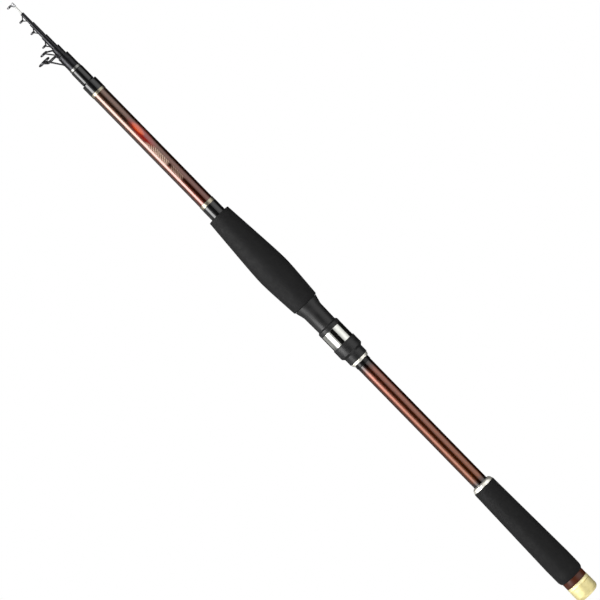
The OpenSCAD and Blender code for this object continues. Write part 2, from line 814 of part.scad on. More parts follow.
// Frame of a guide: sleeve, hoop, two front legs, bent on the largest guide, and two rear braces
module guide_frame(i, bent = false) {
  ring_x = top_x(i) + ahead[i - 1];
  height = rise[i - 1];
  hoop = hoop_r(bore_r[i - 1]);
  mid = hoop - hoop_wall / 2;
  thick = wire_d[i - 1];
  foot_r = sleeve_r(i) + FOOT_LIFT * thick;
  color(STEEL)
    difference() {
      union() {
        band(top_d(i) / 2, sleeve_r(i), sleeve_x(i), top_x(i));
        translate([ring_x - hoop_len / 2, height, 0])
          rotate([0, 90, 0])
            cylinder(h = hoop_len, r = hoop);
        for (side = [-1, 1]) {
          foot = around(top_x(i) - front_foot[i - 1], 0, foot_r, side * FRONT_FOOT_TURN);
          head = around(ring_x, height, mid, side * (bent ? BENT_HOOP_TURN : FRONT_HOOP_TURN));
          bends = [
            for (share = LEG_BENDS)
              [for (k = [0:2]) foot[k] + (head[k] - foot[k]) * share[k]]
          ];
          bent_wire(bent ? concat([foot], bends, [head]) : [foot, head], thick);
          rear = around(top_x(i) - rear_foot[i - 1], 0, foot_r, side * REAR_FOOT_TURN);
          wire(rear, around(ring_x, height, mid, side * REAR_HOOP_TURN), thick);
        }
      }
      // Bore for the tube
      translate([sleeve_x(i) - CUT, 0, 0])
        rotate([0, 90, 0])
          cylinder(h = top_x(i) - sleeve_x(i) + 2 * CUT, r = top_d(i) / 2 + glue_gap);
      // Seat for the ring
      translate([ring_x - ring_len, height, 0])
        rotate([0, 90, 0])
          cylinder(h = 2 * ring_len, r = hoop - hoop_wall);
    }
}

module guide_1_frame() {
  guide_frame(1, bent = true);
}

module guide_2_frame() {
  guide_frame(2);
}

module guide_3_frame() {
  guide_frame(3);
}

module guide_4_frame() {
  guide_frame(4);
}

module guide_5_frame() {
  guide_frame(5);
}

// Ceramic ring with a straight land and rounded edges, its axis along the rod
module ceramic_ring(station, height, bore) {
  lip = (ring_len - ring_land) / 2;
  outer = bore + ring_wall;
  cut = lip * EDGE_OF_LIP;
  color(BLACK)
    translate([station - ring_len / 2, height, 0])
      turned(concat(
        arc([bore + lip, lip], lip, 270, 180),
        arc([bore + lip, ring_len - lip], lip, 180, 90),
        [[outer - cut, ring_len], [outer, ring_len - cut], [outer, cut], [outer - cut, 0]]
      ));
}

module guide_ring(i) {
  ceramic_ring(top_x(i) + ahead[i - 1], rise[i - 1], bore_r[i - 1]);
}

module guide_1_ring() {
  guide_ring(1);
}

module guide_2_ring() {
  guide_ring(2);
}

module guide_3_ring() {
  guide_ring(3);
}

module guide_4_ring() {
  guide_ring(4);
}

module guide_5_ring() {
  guide_ring(5);
}

tip_end = top_x(TIP);
tip_ring_x = tip_end - tip_ring_back;

module tip_top() {
  tube_r = sleeve_r(TIP);
  hoop = hoop_r(tip_bore_r);
  mid = hoop - hoop_wall / 2;
  color(BRIGHT)
    difference() {
      union() {
        translate([tip_end - tip_tube_len, 0, 0])
          rotate([0, 90, 0])
            cylinder(h = tip_tube_len, r = tube_r);
        translate([tip_ring_x - hoop_len / 2, tip_rise, 0])
          rotate([0, 90, 0])
            cylinder(h = hoop_len, r = hoop);
        for (side = [-1, 1]) {
          foot = around(tip_end - tip_tube_len + tip_wire_d, 0, tube_r, side * FRONT_FOOT_TURN);
          wire(foot, around(tip_ring_x, tip_rise, mid, side * FRONT_HOOP_TURN), tip_wire_d);
        }
      }
      // Blind bore for the rod
      translate([tip_end - tip_tube_len - CUT, 0, 0])
        rotate([0, 90, 0])
          cylinder(h = tip_tube_len + CUT - edge + glue_gap, r = top_d(TIP) / 2 + glue_gap);
      // Seat for the ring
      translate([tip_ring_x - ring_len, tip_rise, 0])
        rotate([0, 90, 0])
          cylinder(h = 2 * ring_len, r = hoop - hoop_wall);
    }
}

module tip_top_ring() {
  ceramic_ring(tip_ring_x, tip_rise, tip_bore_r);
}

echo(closed_length = tip_end, drawn_length = tip_end + drawn(TIP));
echo(travel = [for (i = [1:TIP]) travel(i)], tops = [for (i = [0:TIP]) top_x(i)]);
echo(top_d = [for (i = [1:TIP]) top_d(i)], mouth_bore_d = [for (i = [0:TIP - 1]) mouth_bore_d(i)]);

butt_blank();
butt_ferrule();
rear_grip();
rear_grip_check();
seat_wrap();
seat_check();
seat_tube();
rear_hood();
hood_sleeve();
fore_wrap();
fore_trim();
mouth_trim();
mouth_wrap();
moving_hood();
hood_snap_ring();
thrust_washer();
foregrip();
grip_nut();
foregrip_bush();
cap_seal();
butt_cap();
cap_cushion();
section_1();
section_2();
section_3();
section_4();
section_5();
tip_section();
stop_collar();
stop_trim();
guide_1_frame();
guide_2_frame();
guide_3_frame();
guide_4_frame();
guide_5_frame();
guide_1_ring();
guide_2_ring();
guide_3_ring();
guide_4_ring();
guide_5_ring();
tip_top();
tip_top_ring();
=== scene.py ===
"""Looks of the telescopic fishing rod: lacquered butt, foam grips, screw reel seat, sections and guides.

X runs along the rod from the butt to the tip, Y points to the side of the guides, and Z points up.
Assemblies hold their sizes in millimetres, with bores as radii. Finishes, lights and the studio hold
theirs in metres.
"""

import logging
import math
from dataclasses import dataclass, field
from enum import Enum
from typing import Sequence

import bmesh
import bpy
from mathutils import Matrix, Vector


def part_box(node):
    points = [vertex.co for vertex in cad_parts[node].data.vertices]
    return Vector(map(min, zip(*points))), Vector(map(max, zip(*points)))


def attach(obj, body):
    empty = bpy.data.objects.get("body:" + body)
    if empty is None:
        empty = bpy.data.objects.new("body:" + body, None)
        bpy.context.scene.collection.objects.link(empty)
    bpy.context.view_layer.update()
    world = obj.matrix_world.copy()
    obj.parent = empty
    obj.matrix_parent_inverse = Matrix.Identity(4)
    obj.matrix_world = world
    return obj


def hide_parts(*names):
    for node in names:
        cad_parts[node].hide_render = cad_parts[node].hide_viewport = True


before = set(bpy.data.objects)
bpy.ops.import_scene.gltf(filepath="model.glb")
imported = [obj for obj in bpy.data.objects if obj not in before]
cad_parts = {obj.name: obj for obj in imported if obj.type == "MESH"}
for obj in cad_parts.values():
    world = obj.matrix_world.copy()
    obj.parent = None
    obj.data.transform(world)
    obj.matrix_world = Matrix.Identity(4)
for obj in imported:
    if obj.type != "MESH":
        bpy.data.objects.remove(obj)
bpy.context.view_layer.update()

LOG = logging.getLogger("rod")
MM = 0.001  # metres in a millimetre
STEPS = 72  # facets round a turned piece
SHARP = math.radians(32)  # angle over which an edge is shaded sharp
WELD = 1e-6  # metres within which points are merged
GLUE = 0.05  # millimetres of glue between a tube and what is fixed on it
RUN = 0.1  # millimetres of play between faces
NOISE = (0.3, 0.7)  # range that nearly all of a noise fills

Pair = tuple[float, float]
Outline = list[Pair]
Colour = tuple[float, float, float]


class Body(Enum):
    """Bodies of the rod. The pieces of one body move together."""

    BUTT = "butt"
    HOOD = "hood"
    FOREGRIP = "foregrip"
    SEAL = "seal"
    CAP = "cap"
    SECTION_1 = "section_1"
    SECTION_2 = "section_2"
    SECTION_3 = "section_3"
    SECTION_4 = "section_4"
    SECTION_5 = "section_5"
    TIP = "tip"


class Slot(Enum):
    """Material slots of the record."""

    LACQUER = "brown_lacquer"
    FOAM = "foam"
    GOLD = "gold_metal"
    WRAP = "black_wrap"
    PLASTIC = "black_plastic"
    BRIGHT = "bright_metal"
    RUBBER = "seal_rubber"
    BLANK = "black_blank"
    TIP = "white_blank"
    WIRE = "guide_metal"
    CERAMIC = "guide_ceramic"


SECTION_BODIES = (Body.SECTION_1, Body.SECTION_2, Body.SECTION_3, Body.SECTION_4, Body.SECTION_5)


@dataclass(frozen=True)
class Span:
    """Where a CAD node lies, in millimetres: along the rod, towards the guides, and its reach sideways."""

    start: float
    end: float
    low: float
    high: float
    reach: float

    @classmethod
    def of(cls, node: str) -> "Span":
        """Measures a node of the frame."""
        near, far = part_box(node)
        return cls(*(round(value / MM, 3) for value in (near.x, far.x, near.y, far.y, -near.z)))

    @classmethod
    def band(cls, start: float, end: float, reach: float) -> "Span":
        """Gives the place of a band round the rod's axis."""
        return cls(start, end, -reach, reach, reach)

    @property
    def length(self) -> float:
        """Length along the rod."""
        return self.end - self.start

    @property
    def middle(self) -> float:
        """Station half way along."""
        return (self.start + self.end) / 2

    @property
    def rise(self) -> float:
        """Height of its centre over the rod's axis, towards the guides."""
        return (self.low + self.high) / 2


def measured(node: str) -> Span:
    """A dataclass field that measures a CAD node when its assembly is made."""
    return field(default_factory=lambda: Span.of(node))


class Graph:
    """A node tree under construction."""

    def __init__(self, tree: bpy.types.NodeTree) -> None:
        """Takes the tree to build in."""
        self.tree = tree

    def add(self, kind: str, sockets: dict | None = None, **settings: object) -> bpy.types.Node:
        """Adds a node.

        Args:
            kind: Blender's name of the node's type.
            sockets: Values or sockets to feed to its inputs, by index or name.
            settings: The node's own properties.

        Returns:
            The new node.
        """
        node = self.tree.nodes.new(kind)
        for key, value in settings.items():
            setattr(node, key, value)
        for key, value in (sockets or {}).items():
            self.feed(node.inputs[key], value)
        return node

    def feed(self, socket: bpy.types.NodeSocket, value: object) -> None:
        """Links a socket to an input, or sets a plain value on it.

        Args:
            socket: The input.
            value: Another node's output, a number or a colour.
        """
        if isinstance(value, bpy.types.NodeSocket):
            self.tree.links.new(value, socket)
        elif isinstance(value, tuple) and socket.type == "RGBA":
            socket.default_value = (*value, 1)
        else:
            socket.default_value = value

    def sum(self, operation: str, *terms: object) -> bpy.types.NodeSocket:
        """Works out one step of arithmetic and returns its result."""
        return self.add("ShaderNodeMath", dict(enumerate(terms)), operation=operation).outputs[0]

    def span(self, value: object, low: float, high: float, to_low: float = 0,
             to_high: float = 1) -> bpy.types.NodeSocket:
        """Eases a value from one range to another.

        Args:
            value: The socket to read.
            low: Value where the easing starts.
            high: Value where it ends.
            to_low: Result at the start.
            to_high: Result at the end.

        Returns:
            The eased value.
        """
        node = self.add("ShaderNodeMapRange", {0: value, 1: low, 2: high, 3: to_low, 4: to_high})
        node.interpolation_type = "SMOOTHSTEP"
        return node.outputs[0]

    def ramp(self, value: object, *stops: tuple[float, Colour]) -> bpy.types.NodeSocket:
        """Turns a value into a colour.

        Args:
            value: The socket to read, from 0 to 1.
            stops: Positions in rising order and their colours.

        Returns:
            The colour.
        """
        node = self.add("ShaderNodeValToRGB", {0: value})
        marks = node.color_ramp.elements
        while len(marks) < len(stops):
            marks.new(1)
        for mark, (position, colour) in zip(marks, stops):
            mark.position = position
            mark.color = (*colour, 1)
        return node.outputs[0]


class Paint(Graph):
    """The nodes of one material, round its Principled shader."""

    def __init__(self, name: str) -> None:
        """Starts a material with its shader and the piece's own coordinates.

        Args:
            name: The material's name.
        """
        self.material = bpy.data.materials.new(name)
        self.material.use_nodes = True
        super().__init__(self.material.node_tree)
        self.shader = self.tree.nodes["Principled BSDF"]
        self.place = self.add("ShaderNodeTexCoord").outputs["Object"]
        self.x, self.y, self.z = self.add("ShaderNodeSeparateXYZ", {0: self.place}).outputs

    def dress(self, **inputs: object) -> None:
        """Feeds the shader's inputs, named with underscores for spaces."""
        for key, value in inputs.items():
            self.feed(self.shader.inputs[key.replace("_", " ")], value)

    def window(self, value: object, low: float, high: float, soft: float) -> bpy.types.NodeSocket:
        """Marks a range with soft edges.

        Args:
            value: The socket to read.
            low: Start of the range.
            high: End of the range.
            soft: Half width of each edge.

        Returns:
            1 in the range, 0 outside.
        """
        rise = self.span(value, low - soft, low + soft)
        fall = self.span(value, high - soft, high + soft, 1, 0)
        return self.sum("MULTIPLY", rise, fall)

    def noise(self, scale: float, detail: float = 3,
              stretch: tuple[float, float, float] | None = None) -> bpy.types.NodeSocket:
        """Cloudy noise over the piece.

        Args:
            scale: Grains per metre.
            detail: Octaves of finer grain.
            stretch: Factors on the three axes, for streaks.

        Returns:
            The noise, from 0 to 1.
        """
        place = self.place
        if stretch is not None:
            place = self.add("ShaderNodeMapping", {"Vector": place, "Scale": stretch}).outputs[0]
        return self.add("ShaderNodeTexNoise", {0: place, "Scale": scale, "Detail": detail}).outputs[0]

    def lines(self, pitch: float, along: object) -> bpy.types.NodeSocket:
        """Irregular fine lines, as a tool leaves them.

        Args:
            pitch: Spacing in metres.
            along: Coordinate across the lines.

        Returns:
            The lines' height, from 0 to 1.
        """
        place = {"W": self.sum("DIVIDE", along, pitch), "Scale": 1, "Detail": 3}
        return self.add("ShaderNodeTexNoise", place, noise_dimensions="1D").outputs[0]

    def radius(self) -> bpy.types.NodeSocket:
        """Distance from the rod's axis."""
        squares = (self.sum("POWER", axis, 2.0) for axis in (self.y, self.z))
        return self.sum("SQRT", self.sum("ADD", *squares))

    def turn(self) -> bpy.types.NodeSocket:
        """Angle round the rod's axis."""
        return self.sum("ARCTAN2", self.y, self.z)

    def mix(self, share: object, first: object, second: object) -> bpy.types.NodeSocket:
        """Blends two colours.

        Args:
            share: Share of the second.
            first: Colour at 0.
            second: Colour at 1.

        Returns:
            The blend.
        """
        # The node's colours are its inputs 6 and 7 and its output 2.
        return self.add("ShaderNodeMix", {0: share, 6: first, 7: second}, data_type="RGBA").outputs[2]

    def tones(self, value: object, places: Pair, low: Colour, high: Colour) -> bpy.types.NodeSocket:
        """Shades from one colour to another.

        Args:
            value: The socket to read, from 0 to 1.
            places: Values where the shading starts and ends.
            low: Colour up to the start.
            high: Colour past the end.

        Returns:
            The colour.
        """
        return self.ramp(value, *zip(places, (low, high)))

    def bump(self, height: object, depth: float, strength: float = 1) -> bpy.types.NodeSocket:
        """Raises the surface by a height.

        Args:
            height: Height from 0 to 1.
            depth: Depth of the relief in metres.
            strength: Share of the relief that shows.

        Returns:
            The raised normal.
        """
        relief = {"Strength": strength, "Distance": depth, "Height": height}
        return self.add("ShaderNodeBump", relief).outputs[0]


@dataclass(frozen=True)
class Finish:
    """A finish, made into a material the first time that it is used.

    Scales are grains per metre, and a relief is its depth and the share of it that shows.
    """

    name: str

    def material(self) -> bpy.types.Material:
        """Makes the material, or finds it where it is made already.

        Returns:
            The finish's material.
        """
        made = bpy.data.materials.get(self.name)
        if made is None:
            paint = Paint(self.name)
            self.mix(paint)
            made = paint.material
        return made

    def mix(self, paint: Paint) -> None:
        """Builds the nodes of the finish."""
        raise NotImplementedError


@dataclass(frozen=True)
class Lacquer(Finish):
    """Candy lacquer over fine metal flakes, with a plain printed panel ahead of the foregrip."""

    rear: Colour = (0.165, 0.037, 0.003)  # ahead of the rear grip
    middle: Colour = (0.172, 0.040, 0.018)  # behind the reel seat
    fore: Colour = (0.090, 0.012, 0.003)  # ahead of the foregrip
    front: Colour = (0.100, 0.046, 0.027)  # towards the mouth
    front_x: float = 0.68  # station from which the front colour holds
    black: Colour = (0.003, 0.003, 0.003)  # next to the fittings
    fade: Pair = (0.002, 0.008)  # distances from a fitting where the black ends and the colour is full
    seat_fade: float = 0.011  # distance behind the seat's wrap where the colour starts to darken
    flakes: float = 3600
    flake_range: Pair = (0.2, 1)  # values between which a flake dulls
    flake_share: float = 0.45  # most that a flake is dulled
    shade: Colour = (0.02, 0.006, 0.004)  # a dulled flake
    spiral: float = 420  # radians per metre of the tape's marks
    relief: Pair = (0.00002, 0.5)
    cloud: float = 240
    rough: Pair = (0.28, 0.34)
    shine: float = 0.2
    metal: float = 1.0
    coat: float = 1.0
    coat_rough: float = 0.035
    coat_ior: float = 1.59
    printed: bool = True
    silver: Colour = (0.30, 0.205, 0.155)  # the panel's bars
    # Start, end and strength of each group of bars.
    bars_x: tuple[tuple[float, float, float], ...] = ((0.604, 0.635, 1.0), (0.583, 0.600, 0.6))
    bars_y: Pair = (-0.0020, 0.0026)  # reach of the bars across the tube
    bars_soft: Pair = (0.002, 0.0006)  # half widths of their soft edges, along and across
    bar_half: float = 0.0013  # half the spacing of the bars
    bar_edge: Pair = (0.35, 0.52)  # shares of that half where a bar's edge starts and ends
    slant: float = 0.9  # lean of the bars, along for each step across
    haze: float = 0.4  # share of silver between the bars
    ember: Colour = (0.15, 0.005, 0.002)  # the wide red spot
    # Station, offset towards the guides, half length and half width, as in glow_spot.
    ember_spot: tuple[float, float, float, float] = (0.6445, -0.0022, 0.0235, 0.0056)
    glow: Colour = (0.40, 0.046, 0.006)  # the small orange spot in it
    glow_spot: tuple[float, float, float, float] = (0.6500, -0.0026, 0.0105, 0.0031)
    spot_core: float = 0.2  # squared share of the way to its rim up to which a spot is full

    def mix(self, paint: Paint) -> None:
        """Builds the flakes, the tape's spiral marks under the lacquer, the panel and the clear coat.

        Args:
            paint: The material in the making.
        """
        flake = paint.add("ShaderNodeTexVoronoi", {0: paint.place, "Scale": self.flakes}).outputs["Color"]
        grain = paint.add("ShaderNodeSeparateColor", {0: flake}).outputs[0]
        dulled = paint.span(grain, *self.flake_range, 0, self.flake_share)
        colour, metal = paint.mix(dulled, self.colours(paint), self.shade), self.metal
        if self.printed:
            bars, ember = self.bars(paint), self.spot(paint, *self.ember_spot)
            colour = paint.mix(ember, paint.mix(bars, colour, self.silver), self.ember)
            colour = paint.mix(self.spot(paint, *self.glow_spot), colour, self.glow)
            metal = paint.sum("SUBTRACT", self.metal, paint.sum("MAXIMUM", bars, ember))
        wave = paint.sum("SINE", paint.sum("MULTIPLY_ADD", paint.x, self.spiral, paint.turn()))
        paint.dress(Base_Color=colour, Metallic=metal,
                    Roughness=paint.span(paint.noise(self.cloud, detail=2), *NOISE, *self.rough),
                    Specular_IOR_Level=self.shine,
                    Normal=paint.bump(paint.sum("ADD", wave, grain), *self.relief),
                    Coat_Weight=self.coat, Coat_Roughness=self.coat_rough, Coat_IOR=self.coat_ior)

    def colours(self, paint: Paint) -> bpy.types.NodeSocket:
        """Shades the lacquer along the tube, to black where it runs under the fittings.

        Args:
            paint: The material in the making.

        Returns:
            The colour.
        """
        rear, seat = Span.of("rear_grip_check").end * MM, Span.of("seat_wrap").start * MM
        grip, mouth = Span.of("foregrip").end * MM, Span.of("butt_blank").end * MM
        dark, full = self.fade
        stops = ((rear + dark, self.black), (rear + full, self.rear), (seat - self.seat_fade, self.middle),
                 (seat - dark, self.black), (grip, self.black), (grip + full, self.fore),
                 (self.front_x, self.front))
        return paint.ramp(paint.sum("DIVIDE", paint.x, mouth), *((x / mouth, tint) for x, tint in stops))

    def upper(self, paint: Paint) -> bpy.types.NodeSocket:
        """Returns 1 on the tube's upper half, 0 below."""
        return paint.sum("GREATER_THAN", paint.z, 0.0)

    def bars(self, paint: Paint) -> bpy.types.NodeSocket:
        """Draws the panel's two groups of fine slanted bars on the tube's upper face.

        Args:
            paint: The material in the making.

        Returns:
            The share of silver, from 0 to 1.
        """
        half, (soft_x, soft_y) = self.bar_half, self.bars_soft
        across = paint.sum("MULTIPLY_ADD", paint.y, self.slant, paint.x)
        bar = paint.span(paint.sum("PINGPONG", across, half), *(share * half for share in self.bar_edge),
                         self.haze)
        groups = (paint.sum("MULTIPLY", paint.window(paint.x, start, end, soft_x), share)
                  for start, end, share in self.bars_x)
        strip = paint.sum("MULTIPLY", self.upper(paint), paint.window(paint.y, *self.bars_y, soft_y))
        return paint.sum("MULTIPLY", paint.sum("MULTIPLY", bar, paint.sum("ADD", *groups)), strip)

    def spot(self, paint: Paint, x: float, y: float, half_x: float, half_y: float) -> bpy.types.NodeSocket:
        """Marks an oval spot on the tube's upper face, soft towards its rim.

        Args:
            paint: The material in the making.
            x: Station of the spot's middle, in metres.
            y: Offset of its middle towards the guides.
            half_x: Half its length.
            half_y: Half its width.

        Returns:
            The spot's share of the colour, from 0 to 1.
        """
        along = paint.sum("DIVIDE", paint.sum("SUBTRACT", paint.x, x), half_x)
        across = paint.sum("DIVIDE", paint.sum("SUBTRACT", paint.y, y), half_y)
        square = paint.sum("ADD", *(paint.sum("MULTIPLY", part, part) for part in (along, across)))
        return paint.sum("MULTIPLY", self.upper(paint), paint.span(square, self.spot_core, 1, 1, 0))


@dataclass(frozen=True)
class Foam(Finish):
    """Ground closed-cell foam."""

    # painted shade: the darkest colour, given to the cell pits where the bump sinks
    painted_pit_shade: Colour = (0.0006, 0.0006, 0.0006)
    skin: Colour = (0.0030, 0.0030, 0.0032)
    places: Pair = (0.25, 0.75)
    cell: float = 1900
    cell_share: float = 0.9  # share of the cells in the tone
    cloud: float = 160
    cloud_share: float = 0.5  # share of the clouds in the tone
    ring_pitch: float = 0.0011
    ring_share: float = 0.35  # height of the rings against the cells
    relief: Pair = (0.00025, 0.7)
    rough: Pair = (0.60, 0.72)
    shine: float = 0.2
    sheen: float = 0.02
    sheen_rough: float = 0.5

    def mix(self, paint: Paint) -> None:
        """Builds the cells, with painted shade darkening the pits where the bump sinks, the grinder's faint
        rings and the soft sheen.

        Args:
            paint: The material in the making.
        """
        cells = paint.add("ShaderNodeTexVoronoi", {0: paint.place, "Scale": self.cell}).outputs["Distance"]
        cloud = paint.noise(self.cloud)
        # The cells pull the colour to the pit tone where they sink the surface: painted shade, mixed with
        # random clouds.
        tone = paint.sum("MULTIPLY_ADD", cells, self.cell_share,
                         paint.sum("MULTIPLY", cloud, self.cloud_share))
        height = paint.sum("MULTIPLY_ADD", paint.lines(self.ring_pitch, paint.x), self.ring_share, cells)
        paint.dress(Base_Color=paint.tones(tone, self.places, self.painted_pit_shade, self.skin),
                    Roughness=paint.span(cloud, *NOISE, *self.rough), Specular_IOR_Level=self.shine,
                    Normal=paint.bump(height, *self.relief),
                    Sheen_Weight=self.sheen, Sheen_Roughness=self.sheen_rough)


@dataclass(frozen=True)
class TurnedMetal(Finish):
    """Metal with the fine lines of a lathe."""

    tint: Colour
    shade: Colour
    smooth: float  # least roughness
    dull: float  # greatest roughness
    relief: float = 0.000004
    relief_share: float = 0.6
    line_pitch: float = 0.00016
    line_share: float = 0.35  # share of the lines in the tone
    cloud: float = 300
    places: Pair = (0.3, 0.62)

    def mix(self, paint: Paint) -> None:
        """Builds the lines, a little tarnish and uneven gloss.

        Args:
            paint: The material in the making.
        """
        lines = paint.lines(self.line_pitch, paint.sum("ADD", paint.x, paint.radius()))
        cloud = paint.sum("MULTIPLY", paint.noise(self.cloud, detail=4), 1 - self.line_share)
        tone = paint.sum("MULTIPLY_ADD", lines, self.line_share, cloud)
        paint.dress(Base_Color=paint.tones(tone, self.places, self.shade, self.tint), Metallic=1.0,
                    Roughness=paint.span(tone, *NOISE, self.dull, self.smooth),
                    Normal=paint.bump(lines, self.relief, self.relief_share))


@dataclass(frozen=True)
class Moulded(Finish):
    """Moulded plastic or rubber with a fine grain."""

    tint: Colour
    shade: Colour
    smooth: float  # least roughness
    dull: float  # greatest roughness
    relief: float = 0.00003
    grain: float = 2600
    shine: float = 0.5
    relief_share: float = 0.45
    cloud: float = 120

    def mix(self, paint: Paint) -> None:
        """Builds the grain, the handling marks and the sheen.

        Args:
            paint: The material in the making.
        """
        cloud = paint.noise(self.cloud)
        paint.dress(Base_Color=paint.tones(cloud, NOISE, self.shade, self.tint),
                    Roughness=paint.span(cloud, *NOISE, self.smooth, self.dull),
                    Specular_IOR_Level=self.shine,
                    Normal=paint.bump(paint.noise(self.grain), self.relief, self.relief_share))


@dataclass(frozen=True)
class ThreadWrap(Finish):
    """Close-wound thread under a clear build of resin."""

    thread: Colour = (0.0022, 0.0022, 0.0024)
    # painted shade: the colour between the turns, where the bump sinks
    groove: Colour = (0.0006, 0.0006, 0.0006)
    places: Pair = (0.1, 0.6)
    pitch: float = 0.00024
    fuzz: float = 900
    fuzz_share: float = 0.3
    relief: Pair = (0.00006, 0.6)
    rough: Pair = (0.4, 0.55)
    shine: float = 0.05
    resin: float = 1.0
    resin_rough: float = 0.03
    resin_ior: float = 1.5

    def mix(self, paint: Paint) -> None:
        """Builds the turns of thread, with painted shade darkening the grooves between them, and the smooth
        resin over them.

        Args:
            paint: The material in the making.
        """
        wound = paint.sum("ADD", paint.sum("DIVIDE", paint.x, self.pitch),
                          paint.sum("DIVIDE", paint.turn(), math.tau))
        crown = paint.sum("PINGPONG", wound, 0.5)  # up for half of each turn, and down again
        fuzz = paint.noise(self.fuzz)
        # The crown darkens the colour where the bump sinks: painted shade between the turns, with random
        # fuzz.
        tone = paint.sum("MULTIPLY_ADD", fuzz, self.fuzz_share, crown)
        paint.dress(Base_Color=paint.tones(tone, self.places, self.groove, self.thread),
                    Roughness=paint.span(fuzz, *NOISE, *self.rough), Normal=paint.bump(crown, *self.relief),
                    Specular_IOR_Level=self.shine, Coat_Weight=self.resin, Coat_Roughness=self.resin_rough,
                    Coat_IOR=self.resin_ior)


@dataclass(frozen=True)
class Composite(Finish):
    """Wound fibre tube or rod, ground and polished."""

    tint: Colour
    shade: Colour
    polish: float = 1.0
    polish_rough: float = 0.05
    polish_ior: float = 1.5
    places: Pair = (0.35, 0.65)
    winding: float = 0.0009  # metres along for each radian of the bands
    winding_share: float = 0.12  # share of the bands in the tone
    fibre: float = 700
    fibre_stretch: tuple[float, float, float] = (0.06, 1, 1)
    relief: Pair = (0.00001, 0.4)
    rough: Pair = (0.28, 0.42)
    shine: float = 0.1

    def mix(self, paint: Paint) -> None:
        """Builds the winding's bands, streaks of fibre and the polished coat.

        Args:
            paint: The material in the making.
        """
        band = paint.sum("SINE", paint.sum("ADD", paint.turn(), paint.sum("DIVIDE", paint.x, self.winding)))
        streak = paint.noise(self.fibre, stretch=self.fibre_stretch)
        tone = paint.sum("MULTIPLY_ADD", band, self.winding_share, streak)
        paint.dress(Base_Color=paint.tones(tone, self.places, self.shade, self.tint),
                    Roughness=paint.span(streak, *NOISE, *self.rough), Normal=paint.bump(tone, *self.relief),
                    Specular_IOR_Level=self.shine, Coat_Weight=self.polish, Coat_Roughness=self.polish_rough,
                    Coat_IOR=self.polish_ior)


@dataclass(frozen=True)
class Ceramic(Finish):
    """Polished dark ceramic."""

    tint: Colour = (0.030, 0.030, 0.033)
    shade: Colour = (0.013, 0.013, 0.015)
    grain: float = 5200
    rough: Pair = (0.1, 0.2)
    ior: float = 1.75

    def mix(self, paint: Paint) -> None:
        """Builds the fine grain under the polish.

        Args:
            paint: The material in the making.
        """
        grain = paint.noise(self.grain)
        paint.dress(Base_Color=paint.tones(grain, NOISE, self.shade, self.tint),
                    Roughness=paint.span(grain, *NOISE, *self.rough), IOR=self.ior)


LACQUER = Lacquer("candy lacquer")
COLLAR = Lacquer("collar lacquer", black=(0.052, 0.0125, 0.005), metal=0.0, coat=0.05, coat_rough=0.2,
                 printed=False)
FOAM = Foam("ground foam")
SATIN_GOLD = TurnedMetal("satin gold", (0.82, 0.74, 0.40), (0.75, 0.665, 0.345), 0.62, 0.72)
BAND_GOLD = TurnedMetal("band gold", (0.99, 0.92, 0.56), (0.92, 0.83, 0.47), 0.58, 0.68)
PALE_GOLD = TurnedMetal("pale gold", (0.97, 0.95, 0.88), (0.90, 0.88, 0.79), 0.42, 0.52)
TRIM_GOLD = TurnedMetal("trim gold", (0.36, 0.325, 0.25), (0.28, 0.25, 0.19), 0.28, 0.36)
STOP_METAL = TurnedMetal("stop metal", (0.22, 0.22, 0.21), (0.16, 0.16, 0.15), 0.3, 0.4)
CHROME = TurnedMetal("bright chrome", (0.58, 0.585, 0.55), (0.50, 0.505, 0.47), 0.07, 0.12, 0.000001)
TIP_METAL = TurnedMetal("smoked plating", (0.17, 0.17, 0.175), (0.10, 0.10, 0.105), 0.2, 0.3)
SPRING = TurnedMetal("spring steel", (0.50, 0.50, 0.51), (0.36, 0.36, 0.38), 0.28, 0.4)
GUIDE_WIRE = TurnedMetal("dark plating", (0.048, 0.048, 0.051), (0.025, 0.025, 0.028), 0.22, 0.36)
SLEEVE_METAL = TurnedMetal("dark sleeve", (0.030, 0.030, 0.032), (0.017, 0.017, 0.019), 0.3, 0.4)
PLASTIC = Moulded("moulded black", (0.011, 0.011, 0.0112), (0.006, 0.006, 0.0062), 0.36, 0.43, shine=0.3)
WASHER = Moulded("moulded white", (0.84, 0.84, 0.82), (0.74, 0.74, 0.71), 0.4, 0.5)
RUBBER = Moulded("moulded rubber", (0.03, 0.03, 0.03), (0.018, 0.018, 0.018), 0.6, 0.75, 0.00004, 1800)
WRAP = ThreadWrap("resin wrap")
SEAT_WRAP = ThreadWrap("thin resin wrap", resin=0.45)
BLACK_TUBE = Composite("black composite", (0.008, 0.008, 0.0085), (0.003, 0.003, 0.003), 0.8)
WHITE_ROD = Composite("white glass", (0.40, 0.40, 0.39), (0.30, 0.30, 0.285), 0.6)
CERAMIC = Ceramic("dark ceramic")


def arc(centre: Pair, size: Pair, start: float, end: float, steps: int = 8) -> Outline:
    """Points of an elliptical arc in a turned outline.

    Args:
        centre: Station and radius of the centre.
        size: Half axes along the rod and across it.
        start: First angle in degrees, from the rod's direction towards larger radii.
        end: Last angle in degrees.
        steps: Number of pieces.

    Returns:
        The points, as stations and radii.
    """
    turns = (math.radians(start + (end - start) * k / steps) for k in range(steps + 1))
    return [(centre[0] + size[0] * math.cos(a), centre[1] + size[1] * math.sin(a)) for a in turns]


def ring_outline(span: Span, inner: float, shoulder: Pair, steps: int = 5) -> Outline:
    """Closed outline of a band with eased shoulders.

    Args:
        span: Where the band lies.
        inner: Bore's radius.
        shoulder: Length and fall of each shoulder.
        steps: Pieces of each shoulder's curve.

    Returns:
        The outline in millimetres.
    """
    lead, drop = shoulder
    rear = arc((span.start + lead, span.reach - drop), shoulder, 180, 90, steps)
    front = arc((span.end - lead, span.reach - drop), shoulder, 90, 0, steps)
    return [(span.start, inner), *rear, *front, (span.end, inner)]


